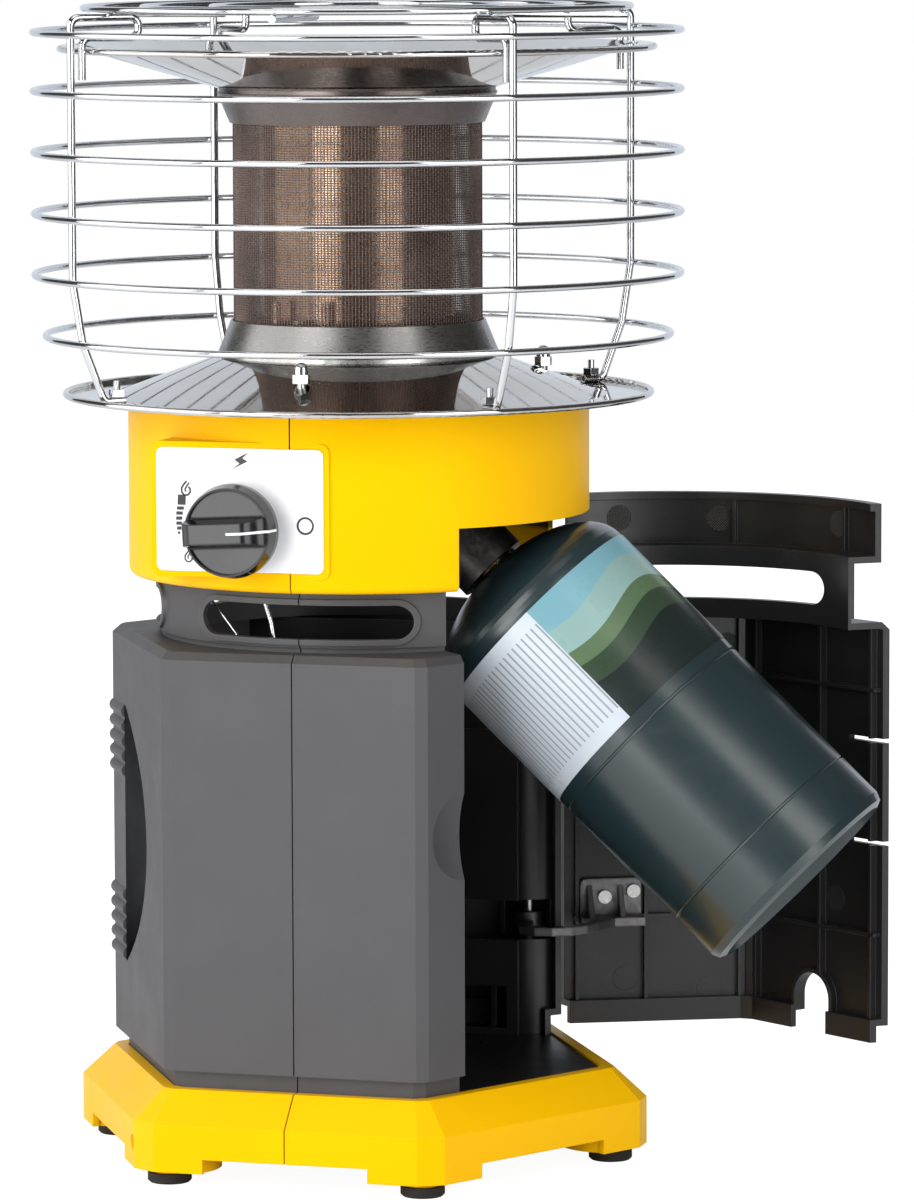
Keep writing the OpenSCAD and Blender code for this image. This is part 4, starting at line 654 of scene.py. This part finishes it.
def label_film():
    mat = bpy.data.materials.new("label_film")
    mat.use_nodes = True
    nodes, links = mat.node_tree.nodes, mat.node_tree.links
    skin = nodes["Principled BSDF"]
    coords = nodes.new("ShaderNodeTexCoord")
    stand = nodes.new("ShaderNodeMapping")
    stand.vector_type = "TEXTURE"
    stand.inputs["Location"].default_value = pivot
    stand.inputs["Rotation"].default_value = (0, -tilt, 0)
    links.new(coords.outputs["Object"], stand.inputs["Vector"])
    part = nodes.new("ShaderNodeSeparateXYZ")
    links.new(stand.outputs["Vector"], part.inputs["Vector"])
    turn = nodes.new("ShaderNodeMath")
    turn.operation = "ARCTAN2"
    links.new(part.outputs["Y"], turn.inputs[0])
    links.new(part.outputs["X"], turn.inputs[1])
    # Height along the bottle, 0 at the label's lower edge and 1 at its top
    rise = nodes.new("ShaderNodeMapRange")
    rise.inputs["From Min"].default_value = -(swing_len - label_foot) * MM
    rise.inputs["From Max"].default_value = -(swing_len - label_head) * MM
    links.new(part.outputs["Z"], rise.inputs["Value"])
    # Wave bands on the coloured side, dark green below and pale blue above
    fade = ramp(nodes, links, rise.outputs["Result"], (0.012, 0.02, 0.018), (0.17, 0.36, 0.42),
                0, 0.82)
    fade.color_ramp.interpolation = "CONSTANT"
    for at, shade in ((0.34, (0.03, 0.055, 0.03)), (0.5, (0.09, 0.15, 0.075)),
                      (0.62, (0.24, 0.38, 0.36))):
        step = fade.color_ramp.elements.new(at)
        step.color = (*shade, 1)
    swell = nodes.new("ShaderNodeMath")
    swell.operation = "SINE"
    turns = nodes.new("ShaderNodeMath")
    turns.operation = "MULTIPLY"
    turns.inputs[1].default_value = wave_count
    links.new(turn.outputs["Value"], turns.inputs[0])
    links.new(turns.outputs["Value"], swell.inputs[0])
    lift_up = nodes.new("ShaderNodeMath")
    lift_up.operation = "MULTIPLY_ADD"
    lift_up.inputs[1].default_value = wave_rise
    links.new(swell.outputs["Value"], lift_up.inputs[0])
    links.new(rise.outputs["Result"], lift_up.inputs[2])
    links.new(lift_up.outputs["Value"], fade.inputs["Fac"])
    # Pale panel with a field of thin plain rules along it
    pale = ramp(nodes, links, rise.outputs["Result"], (0.5, 0.55, 0.6), (0.56, 0.62, 0.67), 0.1, 0.8)
    rules = nodes.new("ShaderNodeMath")
    rules.operation = "PINGPONG"
    rules.inputs[1].default_value = rule_pitch
    links.new(turn.outputs["Value"], rules.inputs[0])
    thin = nodes.new("ShaderNodeMath")
    thin.operation = "LESS_THAN"
    thin.inputs[1].default_value = rule_wide
    links.new(rules.outputs["Value"], thin.inputs[0])
    middle = nodes.new("ShaderNodeMath")
    middle.operation = "COMPARE"
    middle.inputs[1].default_value = 0.5
    middle.inputs[2].default_value = 0.4
    links.new(rise.outputs["Result"], middle.inputs[0])
    printed = nodes.new("ShaderNodeMath")
    printed.operation = "MULTIPLY"
    links.new(thin.outputs["Value"], printed.inputs[0])
    links.new(middle.outputs["Value"], printed.inputs[1])
    ruled = nodes.new("ShaderNodeMix")
    ruled.data_type = "RGBA"
    ruled.inputs["B"].default_value = (0.26, 0.28, 0.31, 1)
    links.new(printed.outputs["Value"], ruled.inputs["Factor"])
    links.new(pale.outputs["Color"], ruled.inputs["A"])
    side = nodes.new("ShaderNodeMath")
    side.operation = "GREATER_THAN"
    side.inputs[1].default_value = panel_edge
    links.new(turn.outputs["Value"], side.inputs[0])
    both = nodes.new("ShaderNodeMix")
    both.data_type = "RGBA"
    links.new(side.outputs["Value"], both.inputs["Factor"])
    links.new(ruled.outputs["Result"], both.inputs["A"])
    links.new(fade.outputs["Color"], both.inputs["B"])
    links.new(both.outputs["Result"], skin.inputs["Base Color"])
    crease = noise(nodes, links, coords, 40, 3)
    gloss = ramp(nodes, links, crease.outputs["Fac"], [0.24] * 3, [0.36] * 3)
    links.new(gloss.outputs["Color"], skin.inputs["Roughness"])
    return mat


dress(label_film(), "bottle_label")

# ------------------------------------------------------------------ burner tube
# Stainless tube behind the screen, browned by heat, bright where it is clean.
heat_steel = metal("heat_tinted_steel", (0.85, 0.62, 0.42), 0.18, 0.08, (1, 1, 0.15), 260, 0.2,
                   stain=(0.42, 0.27, 0.2))
dress(heat_steel, "burner_tube", "pilot_burner")

# ------------------------------------------------------------------ collars and top plate
# Spun stainless collars that grip the ends of the screen. The lower one has
# stayed grey; the upper one and the top plate have gone brown from heat.
collar_steel = metal("collar_steel", (0.34, 0.335, 0.33), 0.3, 0.06, (1, 1, 6), 300, 0.1,
                     stain=(0.3, 0.29, 0.275))
dress(collar_steel, "lower_collar")
brown_steel = metal("browned_steel", (0.19, 0.165, 0.155), 0.3, 0.07, (1, 1, 6), 300, 0.1,
                    stain=(0.12, 0.1, 0.093))
dress(brown_steel, "upper_collar", "burner_top_plate")

# ------------------------------------------------------------------ burner screen
# Woven stainless wire cloth in a cylinder: straight uprights with rings that
# pass in front of one and behind the next. Heat has turned it brown.
screen_wire = metal("screen_wire", (0.27, 0.2, 0.17), 0.34, 0.12, grain=400, relief=0.1,
                    stain=(0.12, 0.095, 0.09), edge=0.0001)
screen_low, screen_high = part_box("burner_screen")
wire_inset = 0.68 * MM
end_gap = 0.4 * MM
screen_r = screen_high.x - wire_inset
uprights = 228
rings = 108
wire_r = 0.29 * MM
screen_foot = screen_low.z + end_gap
screen_h = screen_high.z - screen_low.z - 2 * end_gap
row_h = screen_h / rings

bm = bmesh.new()
bmesh.ops.create_circle(bm, cap_ends=False, segments=4, radius=wire_r)
bmesh.ops.translate(bm, verts=bm.verts, vec=(screen_r, 0, screen_foot))
pulled = bmesh.ops.extrude_edge_only(bm, edges=bm.edges)
bmesh.ops.translate(bm, verts=[v for v in pulled["geom"] if isinstance(v, bmesh.types.BMVert)],
                    vec=(0, 0, screen_h))
bmesh.ops.spin(bm, geom=bm.verts[:] + bm.edges[:] + bm.faces[:], cent=(0, 0, 0), axis=(0, 0, 1),
               angle=2 * math.pi * (uprights - 1) / uprights, steps=uprights - 1,
               use_duplicate=True)
screen_uprights = finish_piece("screen_uprights", bm, screen_wire, "heater")
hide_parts("burner_screen")

bm = bmesh.new()
wave = 0.3 * MM
for k in range(2):
    stand = (Matrix.Translation((screen_r, 0, screen_foot + k * row_h))
             @ Matrix.Rotation(math.pi / 2, 4, "X"))
    start = bmesh.ops.create_circle(bm, cap_ends=False, segments=3, radius=wire_r, matrix=stand)
    edges = list({e for v in start["verts"] for e in v.link_edges})
    bmesh.ops.spin(bm, geom=edges, cent=(0, 0, 0), axis=(0, 0, 1),
                   angle=2 * math.pi, steps=uprights, use_merge=True)
pitch = 2 * math.pi / uprights
for v in bm.verts:
    step = round(math.atan2(v.co.y, v.co.x) / pitch)
    row = round((v.co.z - screen_foot) / row_h)
    out = wave if (step + row) % 2 == 0 else -wave
    r = math.hypot(v.co.x, v.co.y)
    v.co.x *= (r + out) / r
    v.co.y *= (r + out) / r
pair = bm.verts[:] + bm.edges[:] + bm.faces[:]
for k in range(1, rings // 2):
    copy = bmesh.ops.duplicate(bm, geom=pair)
    bmesh.ops.translate(bm, verts=[v for v in copy["geom"] if isinstance(v, bmesh.types.BMVert)],
                        vec=(0, 0, 2 * k * screen_h / rings))
screen_rings = finish_piece("screen_rings", bm, screen_wire, "heater")
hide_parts("burner_screen")

# ------------------------------------------------------------------ reflectors
# Spun bright steel dishes with rolled rims: a near mirror polish with a faint
# uneven grain and light patches of heat haze.
bright = metal("spun_bright_steel", (0.66, 0.65, 0.64), 0.05, 0.02, grain=120, relief=0.04,
               stain=(0.56, 0.53, 0.5))
dress(bright, "lower_reflector", "upper_reflector")

# ------------------------------------------------------------------ guard
# Chrome-plated wire: rings spot-welded outside four bent posts, a small grille
# on top, and nuts at the feet.
chrome = metal("chrome_wire", (0.7, 0.71, 0.73), 0.07, 0.03, grain=200, relief=0.02)
dress(chrome, "cap_nuts", "guard_ring_1", "guard_ring_2", "guard_ring_3", "guard_ring_4",
      "guard_ring_5", "guard_top_ring", "guard_posts", "guard_foot_nuts", "grille_rings",
      "grille_spokes")
